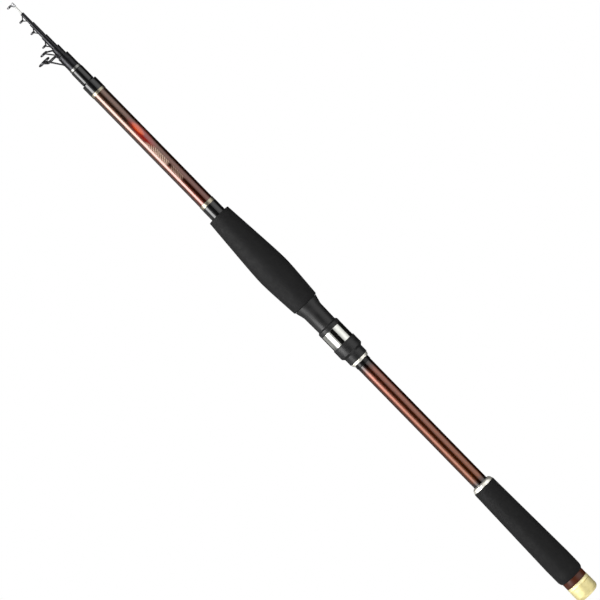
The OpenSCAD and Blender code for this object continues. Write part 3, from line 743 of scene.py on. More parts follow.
@dataclass(frozen=True)
class Thread:
    """A screw thread's ridge: its pitch, flanks, land and height over the root, negative inwards."""

    pitch: float
    flank: float
    land: float
    height: float
    sink: float = 0.15

    def section(self, start: float, root: float) -> Outline:
        """Draws the ridge's section at its rear end, with its foot sunk in the root.

        Args:
            start: Rear station.
            root: Radius that the ridge stands on.

        Returns:
            The closed section.
        """
        foot, crest = root - math.copysign(self.sink, self.height), root + self.height
        return [(start, foot), (start + self.flank, crest), (start + self.flank + self.land, crest),
                (start + 2 * self.flank + self.land, foot)]

    def turns(self, start: float, end: float) -> float:
        """Returns the number of turns that fit between two stations."""
        return (end - start - 2 * self.flank - self.land) / self.pitch


class Workpiece:
    """A piece in the making. Stations and radii come in millimetres, the mesh is in metres."""

    def __init__(self, name: str) -> None:
        """Starts an empty piece."""
        self.name = name
        self.mesh = bmesh.new()

    def draw(self, outline: Outline, rise: float, closed: bool) -> list:
        """Draws an outline in the plane of the guides.

        Args:
            outline: Stations and radii.
            rise: Height of its axis over the rod's own.
            closed: Whether the last point joins the first.

        Returns:
            Its points and edges.
        """
        points = [self.mesh.verts.new((x * MM, (rise + r) * MM, 0)) for x, r in outline]
        pairs = list(zip(points, points[1:])) + ([(points[-1], points[0])] if closed else [])
        return points + [self.mesh.edges.new(pair) for pair in pairs]

    def turn(self, outline: Outline, rise: float = 0, steps: int = STEPS,
             closed: bool = True) -> "Workpiece":
        """Turns an outline about an axis along the rod.

        Args:
            outline: Stations and radii.
            rise: Height of the axis over the rod's own, towards the guides.
            steps: Facets round the axis.
            closed: Whether the last point joins the first.

        Returns:
            This piece.
        """
        bmesh.ops.spin(self.mesh, geom=self.draw(outline, rise, closed), cent=(0, rise * MM, 0),
                       axis=(1, 0, 0), dvec=(0, 0, 0), angle=math.tau, steps=steps, use_merge=True)
        return self

    def wind(self, thread: Thread, start: float, end: float, root: float) -> "Workpiece":
        """Winds a thread's ridge round the rod's axis.

        Args:
            thread: The thread.
            start: Rear station.
            end: Front station.
            root: Radius that the ridge stands on.

        Returns:
            This piece.
        """
        steps = round(thread.turns(start, end) * STEPS)
        bmesh.ops.spin(self.mesh, geom=self.draw(thread.section(start, root), 0, True), cent=(0, 0, 0),
                       axis=(1, 0, 0), dvec=(thread.pitch * MM / STEPS, 0, 0),
                       angle=math.tau * steps / STEPS, steps=steps)
        return self.close()

    def close(self) -> "Workpiece":
        """Closes every open rim with a face."""
        bmesh.ops.holes_fill(self.mesh, edges=[e for e in self.mesh.edges if e.is_boundary], sides=0)
        return self

    def wire(self, points: Sequence[Vector], thick: float, sides: int = 14) -> "Workpiece":
        """Draws a round wire along a path.

        Args:
            points: The path in millimetres.
            thick: Diameter of the wire.
            sides: Facets round the wire.

        Returns:
            This piece.
        """
        path = [Vector(p) * MM for p in points]
        runs = [(b - a).normalized() for a, b in zip(path, path[1:])]
        ways = [runs[0], *((a + b).normalized() for a, b in zip(runs, runs[1:])), runs[-1]]
        place = Matrix.Translation(path[0]) @ ways[0].to_track_quat("Z", "Y").to_matrix().to_4x4()
        made = bmesh.ops.create_circle(self.mesh, cap_ends=True, segments=sides, radius=thick * MM / 2,
                                       matrix=place)
        face = made["verts"][0].link_faces[0]
        for k in range(1, len(path)):
            grown = bmesh.ops.extrude_face_region(self.mesh, geom=[face])["geom"]
            face = next(part for part in grown if isinstance(part, bmesh.types.BMFace))
            swing = ways[k - 1].rotation_difference(ways[k]).to_matrix()
            bmesh.ops.rotate(self.mesh, verts=face.verts, cent=path[k - 1], matrix=swing)
            bmesh.ops.translate(self.mesh, verts=face.verts, vec=path[k] - path[k - 1])
        return self

    def bead(self, place: Vector, size: Vector, sides: int = 14, rows: int = 10) -> "Workpiece":
        """Adds a bead of solder.

        Args:
            place: Its middle in millimetres.
            size: Its half sizes.
            sides: Facets round it.
            rows: Facets from end to end.

        Returns:
            This piece.
        """
        spot = Matrix.Translation(place * MM) @ Matrix.Diagonal((*(size * MM), 1))
        bmesh.ops.create_uvsphere(self.mesh, u_segments=sides, v_segments=rows, radius=1, matrix=spot)
        return self

    def ease(self, width: float, segments: int = 3) -> "Workpiece":
        """Rounds every edge that is sharper than the shading limit.

        Args:
            width: Width of the rounding.
            segments: Facets across it.

        Returns:
            This piece.
        """
        edges = [e for e in self.mesh.edges if len(e.link_faces) == 2 and e.calc_face_angle() > SHARP]
        bmesh.ops.bevel(self.mesh, geom=edges, offset=width * MM, offset_type="OFFSET", affect="EDGES",
                        segments=segments, profile=0.5, material=-1, clamp_overlap=True)
        return self

    def flute(self, above: float, share: float, low: float, high: float) -> "Workpiece":
        """Sinks every other row of the outer face.

        Args:
            above: Radius over which the face counts.
            share: Share of its radius that a sunk row keeps.
            low: Rear station.
            high: Front station.

        Returns:
            This piece.
        """
        rows: dict[int, list] = {}
        for vert in self.mesh.verts:
            if math.hypot(vert.co.y, vert.co.z) > above * MM and low * MM < vert.co.x < high * MM:
                # Points of a row have one angle, to a thousandth of a radian.
                rows.setdefault(round(math.atan2(vert.co.z, vert.co.y) * 1000), []).append(vert)
        for key in sorted(rows)[::2]:
            bmesh.ops.scale(self.mesh, verts=rows[key], vec=(1, share, share))
        return self

    def flat(self, level: float) -> "Workpiece":
        """Cuts the side away from the guides flat.

        Args:
            level: Distance of the flat from the axis.

        Returns:
            This piece.
        """
        bmesh.ops.bisect_plane(self.mesh, geom=[*self.mesh.verts, *self.mesh.edges, *self.mesh.faces],
                               plane_co=(0, -level * MM, 0), plane_no=(0, -1, 0), clear_outer=True)
        return self.close()

    def dress(self, finish: Finish, slot: Slot, body: Body, *nodes: str) -> bpy.types.Object:
        """Finishes the piece and hands it to its body.

        Args:
            finish: Its finish.
            slot: Its slot in the record. Not used.
            body: The body that it moves with.
            nodes: CAD nodes that it stands for.

        Returns:
            The finished object.
        """
        bmesh.ops.remove_doubles(self.mesh, verts=self.mesh.verts, dist=WELD)
        bmesh.ops.recalc_face_normals(self.mesh, faces=self.mesh.faces)
        for face in self.mesh.faces:
            face.smooth = True
        for edge in self.mesh.edges:
            edge.smooth = len(edge.link_faces) == 2 and edge.calc_face_angle() < SHARP
        data = bpy.data.meshes.new(self.name)
        self.mesh.to_mesh(data)
        self.mesh.free()
        data.materials.append(finish.material())
        piece = bpy.data.objects.new(self.name, data)
        bpy.context.scene.collection.objects.link(piece)
        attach(piece, body.value)
        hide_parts(*nodes)
        LOG.info("%s: %d faces, rides on %s", self.name, len(data.polygons), body.value)
        return piece


def keep(node: str, finish: Finish) -> None:
    """Gives a CAD node that keeps its shape a better material.

    Args:
        node: The node.
        finish: Its finish.
    """
    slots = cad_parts[node].data.materials
    slots.clear()
    slots.append(finish.material())
    LOG.info("%s: CAD node with %s", node, finish.name)


@dataclass
class ButtCap:
    """Screwed cap of the butt: satin dome, fluted band, plug with its thread, seal and cushion."""

    cap: Span = measured("butt_cap")
    seal: Span = measured("cap_seal")
    cushion: Span = measured("cap_cushion")
    collar: Span = measured("butt_ferrule")
    flat_r: float = 8  # the flat end
    dish_r: float = 6.4  # rim of the dish in it
    dish: float = 0.4  # depth of the dish
    shell_ease: float = 0.12
    groove: float = 0.5  # depth of the groove between the dome and the band
    band_len: float = 3.5
    band_drop: float = 0.9  # fall of the band's shoulders, as a share of the groove
    flutes: int = 64
    flute_depth: float = 0.22
    flute_rim: float = 0.1  # depth of the face that is fluted
    flute_end: float = 0.8  # plain rim at each end, as a share of the groove
    plug_ease: float = 0.15
    thread: Thread = Thread(pitch=2, flank=0.55, land=0.3, height=0.65)
    thread_ends: Pair = (0.4, 0.3)  # room at the thread's ends
    seal_steps: int = 24
    cushion_edge: float = 1.2  # chamfer of the cushion
    cushion_pip: float = 2.6  # radius of its pip
    pip_h: float = 0.3  # height of the pip
    pip_slope: float = 0.4  # run of the pip's side
    cushion_ease: float = 0.25

    def __post_init__(self) -> None:
        """Works out the stations and radii that the frame gives."""
        self.front = self.collar.start - RUN
        self.band_x = self.front - self.band_len
        self.plug_r = self.seal.reach - self.seal.length / 2

    def build(self) -> None:
        """Builds the cap's pieces."""
        self.shell()
        self.band()
        self.plug()
        self.ring()
        self.pad()

    def shell(self) -> None:
        """Builds the dome with its dished end."""
        outer = self.cap.reach
        curve = outer - self.flat_r
        outline = [(self.dish, 0), (self.dish, self.dish_r - self.dish), (0, self.dish_r),
                   *arc((curve, self.flat_r), (curve, curve), 180, 90, steps=14),
                   (self.band_x - self.groove, outer), (self.band_x, outer - self.groove), (self.band_x, 0)]
        Workpiece("cap_shell").turn(outline, closed=False, steps=2 * STEPS).ease(self.shell_ease).dress(
            SATIN_GOLD, Slot.GOLD, Body.CAP, "butt_cap")

    def band(self) -> None:
        """Builds the fluted band next to the collar."""
        outer, edge = self.cap.reach, self.groove
        place, run = Span.band(self.band_x, self.front, outer), self.flute_end * edge
        outline = ring_outline(place, self.plug_r, (edge, self.band_drop * edge))
        Workpiece("cap_band").turn(outline, steps=2 * self.flutes).flute(
            outer - self.flute_rim, 1 - self.flute_depth / outer, self.band_x + run, self.front - run).dress(
            BAND_GOLD, Slot.GOLD, Body.CAP, "butt_cap")

    def plug(self) -> None:
        """Builds the plug, its seal groove and its thread."""
        root = self.plug_r - self.seal.length / 2 - GLUE
        rear, front, end = self.seal.start - RUN, self.seal.end + RUN, self.cap.end
        outline = [(self.band_x, 0), (self.band_x, self.plug_r), (rear, self.plug_r), (rear, root),
                   (front, root), (front, self.plug_r), (end, self.plug_r), (end, 0)]
        Workpiece("cap_plug").turn(outline, closed=False).ease(self.plug_ease).dress(
            SATIN_GOLD, Slot.GOLD, Body.CAP, "butt_cap")
        lead, tail = self.thread_ends
        Workpiece("plug_thread").wind(self.thread, front + lead, end - tail, self.plug_r).dress(
            SATIN_GOLD, Slot.GOLD, Body.CAP, "butt_cap")

    def ring(self) -> None:
        """Builds the seal, a ring of round section."""
        half, step = self.seal.length / 2, 360 / self.seal_steps
        outline = arc((self.seal.middle, self.plug_r), (half, half), 0, 360 - step, self.seal_steps - 1)
        Workpiece("plug_seal").turn(outline).dress(RUBBER, Slot.RUBBER, Body.SEAL, "cap_seal")

    def pad(self) -> None:
        """Builds the cushion on the plug's end, with a pip in its middle."""
        start, end, outer, edge = self.cushion.start, self.cushion.end, self.cushion.reach, self.cushion_edge
        face = end - self.pip_h
        outline = [(start, 0), (start, outer), (end - edge, outer), (face, outer - edge),
                   (face, self.cushion_pip + self.pip_slope), (end, self.cushion_pip), (end, 0)]
        Workpiece("plug_cushion").turn(outline, closed=False).ease(self.cushion_ease).dress(
            RUBBER, Slot.RUBBER, Body.CAP, "cap_cushion")


@dataclass
class Butt:
    """Butt tube with its ferrule, wraps and trim bands."""

    tube: Span = measured("butt_blank")
    ferrule: Span = measured("butt_ferrule")
    grip: Span = measured("rear_grip")
    rear_bore: float = 7.045  # at the tube's rear end
    bore: float = 6.7  # at its mouth
    tube_ease: float = 0.3
    plug_bore: float = 10.85  # for the cap's plug
    skirt_r: float = 11.85  # the skirt under the grip
    collar_ease: float = 0.4
    thread: Thread = Thread(pitch=2, flank=0.5, land=0.2, height=-0.17)
    thread_ends: Pair = (2.6, 0.8)  # room at the thread's ends
    wraps: tuple[tuple[str, Finish], ...] = (
        ("seat_wrap", SEAT_WRAP), ("fore_wrap", WRAP), ("mouth_wrap", WRAP))
    wrap_shoulder: Pair = (0.9, 0.3)  # length and fall
    trims: tuple[str, ...] = ("fore_trim", "mouth_trim")
    bead: float = 0.8  # length of a trim's bead
    bead_h: float = 0.14  # height of the bead

    def build(self) -> None:
        """Builds the tube, the ferrule, and what is wound and pressed on the tube."""
        tube, glue_r = self.tube, self.tube.reach + GLUE
        outline = [(tube.start, self.rear_bore), (tube.start, tube.reach), (tube.end, tube.reach),
                   (tube.end, self.bore)]
        Workpiece("butt_tube").turn(outline).ease(self.tube_ease).dress(
            LACQUER, Slot.LACQUER, Body.BUTT, "butt_blank")
        self.collar(glue_r)
        for node, finish in self.wraps:
            Workpiece(node + "_turns").turn(ring_outline(Span.of(node), glue_r, self.wrap_shoulder)).dress(
                finish, Slot.WRAP, Body.BUTT, node)
        for node in self.trims:
            self.trim(node, glue_r)

    def collar(self, glue_r: float) -> None:
        """Builds the collar that shows, the skirt under the grip and the plug's thread.

        Args:
            glue_r: Radius of the tube's seat in the skirt.
        """
        start, end, outer = self.ferrule.start, self.ferrule.end, self.ferrule.reach
        face, seat = self.grip.start - RUN, self.tube.start
        outline = [(start, self.plug_bore), (start, outer), (face, outer), (face, self.skirt_r),
                   (end, self.skirt_r), (end, glue_r), (seat, glue_r), (seat, self.plug_bore)]
        Workpiece("butt_collar").turn(outline).ease(self.collar_ease).dress(
            COLLAR, Slot.LACQUER, Body.BUTT, "butt_ferrule")
        lead, tail = self.thread_ends
        Workpiece("collar_thread").wind(self.thread, start + lead, seat - tail, self.plug_bore).dress(
            COLLAR, Slot.LACQUER, Body.BUTT, "butt_ferrule")

    def trim(self, node: str, glue_r: float) -> None:
        """Builds a trim band with a bead at each end.

        Args:
            node: The CAD node that it stands for.
            glue_r: Radius of its bore.
        """
        span, half = Span.of(node), self.bead / 2
        low = span.reach - self.bead_h
        outline = [(span.start, glue_r), *arc((span.start + half, low), (half, self.bead_h), 180, 0),
                   *arc((span.end - half, low), (half, self.bead_h), 180, 0), (span.end, glue_r)]
        Workpiece(node + "_band").turn(outline).dress(TRIM_GOLD, Slot.GOLD, Body.BUTT, node)


@dataclass
class RearGrip:
    """Foam rear grip with its metal check."""

    foam: Span = measured("rear_grip")
    check: Span = measured("rear_grip_check")
    ferrule: Span = measured("butt_ferrule")
    tube: Span = measured("butt_blank")
    bore: float = 11.9  # over the ferrule's skirt
    edge: Pair = (6, 2.4)  # length and fall of the rear edge's rounding
    rear_r: float = 14.8  # at the end of that rounding
    front_r: float = 12.75
    front_round: float = 0.7
    rim: float = 0.9  # length of the check's beaded rim
    rim_h: float = 0.2  # height of its bead
    lip: float = 8.75  # radius at the cone's end
    cone_deg: float = 80  # angle of the crown's ellipse where the cone starts
    steps: int = 96

    def build(self) -> None:
        """Builds the foam and the check."""
        (length, depth), foam, turn = self.edge, self.foam, self.front_round
        tube_r, skirt_x = self.tube.reach + GLUE, self.ferrule.end + RUN
        outline = [(foam.start, self.bore),
                   *arc((foam.start + length, self.rear_r - depth), (length, depth), 180, 90, steps=12),
                   (skirt_x, foam.reach), (foam.end - turn, self.front_r),
                   *arc((foam.end - turn, self.front_r - turn), (turn, turn), 90, 0, steps=5),
                   (foam.end, tube_r), (skirt_x, tube_r), (skirt_x, self.bore)]
        grip = Workpiece("rear_foam").turn(outline, steps=self.steps).dress(
            FOAM, Slot.FOAM, Body.BUTT, "rear_grip")
        self.ring(tube_r)

    def ring(self, tube_r: float) -> None:
        """Builds the check: a beaded rim and a crowned cone down to the tube.

        Args:
            tube_r: Radius of its bore.
        """
        check, half, low = self.check, self.rim / 2, self.check.reach - self.rim_h
        run = check.length - self.rim
        crown = (run, low - self.lip - self.rim_h)
        outline = [(check.start, tube_r), *arc((check.start + half, low), (half, self.rim_h), 180, 0),
                   *arc((check.start + self.rim, self.lip), crown, self.cone_deg, 0, steps=10),
                   (check.end, tube_r)]
        Workpiece("rear_check").turn(outline).dress(PALE_GOLD, Slot.GOLD, Body.BUTT, "rear_grip_check")


@dataclass
class ReelSeat:
    """Screw reel seat: tube, check, fixed hood with its bright sleeve, and the moving hood."""

    tube: Span = measured("seat_tube")
    cup: Span = measured("seat_check")
    hood: Span = measured("rear_hood")
    sleeve: Span = measured("hood_sleeve")
    slide: Span = measured("moving_hood")
    foam: Span = measured("foregrip")
    blank: Span = measured("butt_blank")
    root_r: float = 8.82  # under the thread
    flat_r: float = 8.75  # distance of the flat from the axis
    relief: float = 2  # plain run at each end of the thread
    thread_end: float = 503.3  # station of the thread's front end
    thread: Thread = Thread(pitch=5, flank=1.3, land=1.0, height=0.28)
    cup_lip: float = 0.5  # wall at the check's rear edge
    cup_cove: float = 0.3  # step from that edge up to the cove
    cup_bead: float = 0.9  # half length of the check's bead
    bead_share: float = 0.7  # height of the bead over that
    hood_in: float = 9.15  # bore of the fixed hood
    tail_r: float = 11.1  # its slim tail
    tail_len: float = 8
    socket_r: float = 12.7  # its socket for the sleeve
    hood_ease: float = 0.35
    line: float = 0.3  # half width of its fine line, and the tube's chamfers
    line_share: float = 0.7  # depth of the line over that
    line_x: float = 1.4  # distance of the line from the mouth
    sleeve_in: float = 11.75
    sleeve_ease: float = 0.28
    rim_r: float = 12.7  # rim of the moving hood
    rim_in: float = 11.8
    rim_len: float = 4.15
    neck: Pair = (11.0, 11.4)  # radii at the neck's ends
    cone_len: float = 9.5
    barrel_r: float = 12.3  # the barrel inside the foregrip
    barrel_in: float = 11.2
    floor: float = 2  # wall between the cone's face and the barrel's bore
    slide_in: float = 9.25  # bore on the seat's tube
    pocket_r: float = 10.1
    pocket: Pair = (8, 14)  # ends of the mouth's flare and of the pocket, from the rim
    slide_ease: float = 0.3
    kept: tuple[tuple[str, Finish], ...] = (
        ("hood_snap_ring", SPRING), ("thrust_washer", WASHER), ("grip_nut", PLASTIC),
        ("foregrip_bush", PLASTIC))

    def build(self) -> None:
        """Builds the seat from the tube outwards."""
        self.barrel()
        self.check()
        self.rear_hood()
        self.moving_hood()
        for node, finish in self.kept:
            keep(node, finish)

    def barrel(self) -> None:
        """Builds the seat's tube: round behind, keyed and screwed ahead."""
        tube, inner, flat_x = self.tube, self.blank.reach + GLUE, self.sleeve.end
        rear = [(tube.start, inner), (tube.start, tube.reach), (flat_x, tube.reach), (flat_x, inner)]
        Workpiece("seat_rear").turn(rear).dress(PLASTIC, Slot.PLASTIC, Body.BUTT, "seat_tube")
        low = self.slide.end + RUN
        last = self.thread_end + self.relief
        front = [(flat_x, inner), (flat_x, tube.reach), (low, tube.reach), (low + self.line, self.root_r),
                 (last - self.line, self.root_r), (last, tube.reach), (tube.end - self.line, tube.reach),
                 (tube.end, tube.reach - self.line), (tube.end, inner)]
        Workpiece("seat_front").turn(front).flat(self.flat_r).dress(
            PLASTIC, Slot.PLASTIC, Body.BUTT, "seat_tube")
        Workpiece("seat_thread").wind(self.thread, low + self.relief, self.thread_end, self.root_r).flat(
            self.flat_r - GLUE).dress(PLASTIC, Slot.PLASTIC, Body.BUTT, "seat_tube")

    def check(self) -> None:
        """Builds the check behind the hood: a cove that ends in a bead."""
        cup, inner, bead = self.cup, self.blank.reach + GLUE, self.cup_bead
        throat, low = inner + self.cup_lip, self.bead_share * bead
        run = cup.length - 2 * bead
        cove = (run, cup.reach - throat - bead)
        outline = [(cup.start, inner), (cup.start, throat),
                   *arc((cup.start + run, throat + self.cup_cove), cove, 180, 90, steps=6),
                   *arc((cup.end - bead, cup.reach - low), (bead, low), 180, 0, steps=10), (cup.end, inner)]
        Workpiece("seat_cup").turn(outline).dress(PALE_GOLD, Slot.GOLD, Body.BUTT, "seat_check")

    def rear_hood(self) -> None:
        """Builds the fixed hood, with a fine line near its mouth, and its bright sleeve."""
        hood, line, sleeve = self.hood, self.line, self.sleeve
        slope = hood.start + self.tail_len
        mark, socket_x = hood.end - self.line_x, sleeve.start - RUN
        outline = [(hood.start, self.hood_in), (hood.start, self.tail_r), (slope, self.tail_r),
                   (slope + hood.reach - self.tail_r, hood.reach), (mark - line, hood.reach),
                   (mark, hood.reach - self.line_share * line), (mark + line, hood.reach),
                   (hood.end, hood.reach), (hood.end, self.socket_r), (socket_x, self.socket_r),
                   (socket_x, self.hood_in)]
        Workpiece("fixed_hood").turn(outline).ease(self.hood_ease).dress(
            PLASTIC, Slot.PLASTIC, Body.BUTT, "rear_hood")
        tube = [(sleeve.start, self.sleeve_in), (sleeve.start, sleeve.reach), (sleeve.end, sleeve.reach),
                (sleeve.end, self.sleeve_in)]
        Workpiece("bright_sleeve").turn(tube).ease(self.sleeve_ease).dress(
            CHROME, Slot.BRIGHT, Body.BUTT, "hood_sleeve")

    def moving_hood(self) -> None:
        """Builds the moving hood: lipped rim, slim neck, the cone that meets the foam, and its barrel."""
        slide, cone_end = self.slide, self.foam.start - RUN
        rim = slide.start + self.rim_len
        near, far = (slide.start + reach for reach in self.pocket)
        neck, waist = self.neck
        floor = cone_end + self.floor
        outline = [(slide.start, self.rim_in), (slide.start, self.rim_r), (rim, self.rim_r),
                   (rim + self.rim_r - neck, neck), (cone_end - self.cone_len, waist),
                   (cone_end, slide.reach), (cone_end, self.barrel_r), (slide.end, self.barrel_r),
                   (slide.end, self.barrel_in), (floor, self.barrel_in), (floor, self.slide_in),
                   (far, self.slide_in), (far, self.pocket_r), (near, self.pocket_r)]
        Workpiece("sliding_hood").turn(outline).ease(self.slide_ease).dress(
            PLASTIC, Slot.PLASTIC, Body.HOOD, "moving_hood")


@dataclass
class Foregrip:
    """Foam foregrip, swollen to a belly, that turns the seat's nut."""

    foam: Span = measured("foregrip")
    hood: Span = measured("moving_hood")
    belly: float = 46  # distance of the belly from the rear end
    rear_r: float = 15.1
    front_r: float = 12.6
    roundness: float = 10  # length over which the belly is round
    rear_round: float = 1.6
    front_round: float = 0.9
    recess_r: float = 12.45  # recess for the moving hood's barrel
    bore: float = 11.35  # over the nut and the bush
    rear_steps: int = 16
    front_steps: int = 24
    steps: int = 96

    def swell(self, share: float, reach: float, end_r: float) -> Pair:
        """Station and radius of the grip on one side of its belly.

        Args:
            share: Share of the way from the belly to that end.
            reach: Run to that end, negative towards the butt.
            end_r: Radius at that end.

        Returns:
            The point in millimetres.
        """
        fall, full = (math.hypot(run, self.roundness) - self.roundness for run in (share * reach, reach))
        return (self.foam.start + self.belly + share * reach,
                self.foam.reach - (self.foam.reach - end_r) * fall / full)

    def build(self) -> None:
        """Builds the foam."""
        foam, back, ahead = self.foam, self.rear_round, self.front_round
        rear = [self.swell(k / self.rear_steps, back - self.belly, self.rear_r)
                for k in range(self.rear_steps - 1, 0, -1)]
        front = [self.swell(k / self.front_steps, foam.length - self.belly - ahead, self.front_r)
                 for k in range(self.front_steps)]
        recess_x = self.hood.end + RUN
        outline = [(foam.start, self.recess_r),
                   *arc((foam.start + back, self.rear_r - back), (back, back), 180, 90, steps=6),
                   *rear, *front,
                   *arc((foam.end - ahead, self.front_r - ahead), (ahead, ahead), 90, 0, steps=5),
                   (foam.end, self.bore), (recess_x, self.bore), (recess_x, self.recess_r)]
        grip = Workpiece("fore_foam").turn(outline, steps=self.steps).dress(
            FOAM, Slot.FOAM, Body.FOREGRIP, "foregrip")


@dataclass
class Section:
    """One tube of the telescope: locking taper at the foot, long taper, straight top."""

    number: int
    lock_r: float  # at the end of the locking taper
    top_r: float
    wall: float
    lap: float  # length of the locking taper
    straight_x: float  # station from which the top runs straight
    edge: float = 0.1
    edge_steps: int = 2

    def build(self) -> None:
        """Builds the tube."""
        node = f"section_{self.number}"
        tube = Span.of(node)
        outline = [(tube.start, tube.reach - self.wall), (tube.start, tube.reach),
                   (tube.start + self.lap, self.lock_r), (self.straight_x, self.top_r),
                   (tube.end, self.top_r), (tube.end, self.top_r - self.wall)]
        Workpiece(f"tube_{self.number}").turn(outline).ease(self.edge, self.edge_steps).dress(
            BLACK_TUBE, Slot.BLANK, SECTION_BODIES[self.number - 1], node)


@dataclass
class LineGuide:
    """A line guide: sleeve on the section's top, wire frame, and a ceramic ring."""

    frame_node: str
    ring_node: str
    tube_r: float  # the section's top
    thick: float  # diameter of the wire
    front_foot: float = 0  # distance of the front feet from the section's top
    rear_foot: float = 0  # the same for the rear feet
    # Shares of a front leg's run along, up and out at each bend.
    bends: tuple[tuple[float, float, float], ...] = ()
    front_turns: Pair = (48, 128)  # angles of a front leg's foot and head off the guides' side
    rear_turns: Pair = (16, 100)  # the same for a rear leg
    foot_lift: float = 0.1  # height of a foot over the sleeve, in wire diameters
    solder: tuple[float, float, float] = (1.1, 0.62, 0.62)  # half sizes of the solder, in wire diameters
    ring_wall: float = 0.8
    hoop_len: float = 1.3
    hoop_wall: float = 0.5
    hoop_shoulder: Pair = (0.4, 0.25)
    sleeve_wall: float = 0.35
    sleeve_shoulder: Pair = (0.3, 0.16)
    lip: float = 0.5  # rounding of the ring's bore
    chamfer: float = 0.12  # outer edges of the ring
    hoop_steps: int = 48

    def __post_init__(self) -> None:
        """Measures the frame and the ring."""
        self.frame = Span.of(self.frame_node)
        self.eye = Span.of(self.ring_node)
        self.hoop_in = self.eye.reach + GLUE
        self.wire_r = self.hoop_in + self.hoop_wall / 2
        self.sleeve_r = self.tube_r + GLUE + self.sleeve_wall

    @staticmethod
    def around(station: float, height: float, radius: float, turn: float) -> Vector:
        """Returns a point on a circle round an axis along the rod, turned from the guide side."""
        angle = math.radians(turn)
        return Vector((station, height + radius * math.cos(angle), radius * math.sin(angle)))

    def build(self, name: str, body: Body, top: float) -> None:
        """Builds the guide on its section.

        Args:
            name: Start of its pieces' names.
            body: The section's body.
            top: Station of the section's top.
        """
        sleeve = Span.band(self.frame.start, top, self.sleeve_r)
        outline = ring_outline(sleeve, self.tube_r + GLUE, self.sleeve_shoulder)
        Workpiece(name + "_sleeve").turn(outline).dress(SLEEVE_METAL, Slot.WIRE, body, self.frame_node)
        wires = Workpiece(name + "_wires")
        self.hoop(wires)
        for side in (-1, 1):
            self.leg(wires, top - self.front_foot, *(side * turn for turn in self.front_turns), self.bends)
            self.leg(wires, top - self.rear_foot, *(side * turn for turn in self.rear_turns))
        wires.dress(GUIDE_WIRE, Slot.WIRE, body, self.frame_node)
        self.ring(name + "_eye", body)

    def hoop(self, piece: Workpiece) -> None:
        """Turns the hoop that holds the ring.

        Args:
            piece: The frame in the making.
        """
        middle, half = self.eye.middle, self.hoop_len / 2
        band = Span.band(middle - half, middle + half, self.hoop_in + self.hoop_wall)
        piece.turn(ring_outline(band, self.hoop_in, self.hoop_shoulder), rise=self.eye.rise,
                   steps=self.hoop_steps)

    def leg(self, piece: Workpiece, station: float, foot_turn: float, head_turn: float,
            bends: Sequence[tuple[float, float, float]] = ()) -> None:
        """Draws one leg from the sleeve to the hoop, with solder at its foot.

        Args:
            piece: The frame in the making.
            station: Station of its foot.
            foot_turn: Angle of its foot on the sleeve.
            head_turn: Angle of its head on the hoop.
            bends: Shares of the leg's run along, up and out at each bend.
        """
        foot = self.around(station, 0, self.sleeve_r + self.foot_lift * self.thick, foot_turn)
        head = self.around(self.eye.middle, self.eye.rise, self.wire_r, head_turn)
        knees = [Vector(f + (h - f) * s for f, h, s in zip(foot, head, share)) for share in bends]
        piece.wire(self.rounded([foot, *knees, head]), self.thick)
        piece.bead(foot, Vector(self.solder) * self.thick)

    @staticmethod
    def rounded(points: Sequence[Vector], reach: float = 1.4, steps: int = 6) -> list[Vector]:
        """Rounds the bends of a path.

        Args:
            points: Its ends and bends.
            reach: Length of wire on each side that a bend takes.
            steps: Pieces of each curve.

        Returns:
            The points of the rounded path.
        """
        path = [points[0]]
        for before, knee, after in zip(points, points[1:], points[2:]):
            first = knee + (before - knee).normalized() * reach
            last = knee + (after - knee).normalized() * reach
            path += [first * (1 - t) ** 2 + knee * 2 * t * (1 - t) + last * t ** 2
                     for t in (k / steps for k in range(steps + 1))]
        return [*path, points[-1]]

    def ring(self, name: str, body: Body) -> None:
        """Turns the ceramic ring.

        Args:
            name: Name of the piece.
            body: Body that it rides on.
        """
        eye, lip, cut = self.eye, self.lip, self.chamfer
        bore = eye.reach - self.ring_wall
        outline = [*arc((eye.start + lip, bore + lip), (lip, lip), 270, 180, steps=6),
                   *arc((eye.start + cut, eye.reach - cut), (cut, cut), 180, 90, steps=3),
                   *arc((eye.end - cut, eye.reach - cut), (cut, cut), 90, 0, steps=3),
                   *arc((eye.end - lip, bore + lip), (lip, lip), 0, -90, steps=6)]
        Workpiece(name).turn(outline, rise=eye.rise, steps=self.hoop_steps).dress(
            CERAMIC, Slot.CERAMIC, body, self.ring_node)


@dataclass
class TipTop(LineGuide):
    """The tip's end fitting: a closed tube with a small framed ring."""

    edge: float = 0.12
    edge_steps: int = 2

    def build(self, name: str, body: Body, top: float) -> None:
        """Builds the fitting on the tip.

        Args:
            name: Start of its pieces' names.
            body: The tip's body.
            top: Station of the fitting's closed end.
        """
        start, inner, floor = self.frame.start, self.tube_r + GLUE, top - self.sleeve_wall
        tube = [(start, inner), (start, self.sleeve_r), (top, self.sleeve_r), (top, 0), (floor, 0),
                (floor, inner)]
        Workpiece(name + "_tube").turn(tube, steps=self.hoop_steps).ease(self.edge, self.edge_steps).dress(
            SPRING, Slot.BRIGHT, body, self.frame_node)
        piece = Workpiece(name + "_frame")
        self.hoop(piece)
        for side in (-1, 1):
            self.leg(piece, start + self.thick, *(side * turn for turn in self.front_turns))
        piece.dress(TIP_METAL, Slot.BRIGHT, body, self.frame_node)
        self.ring(name + "_eye", body)


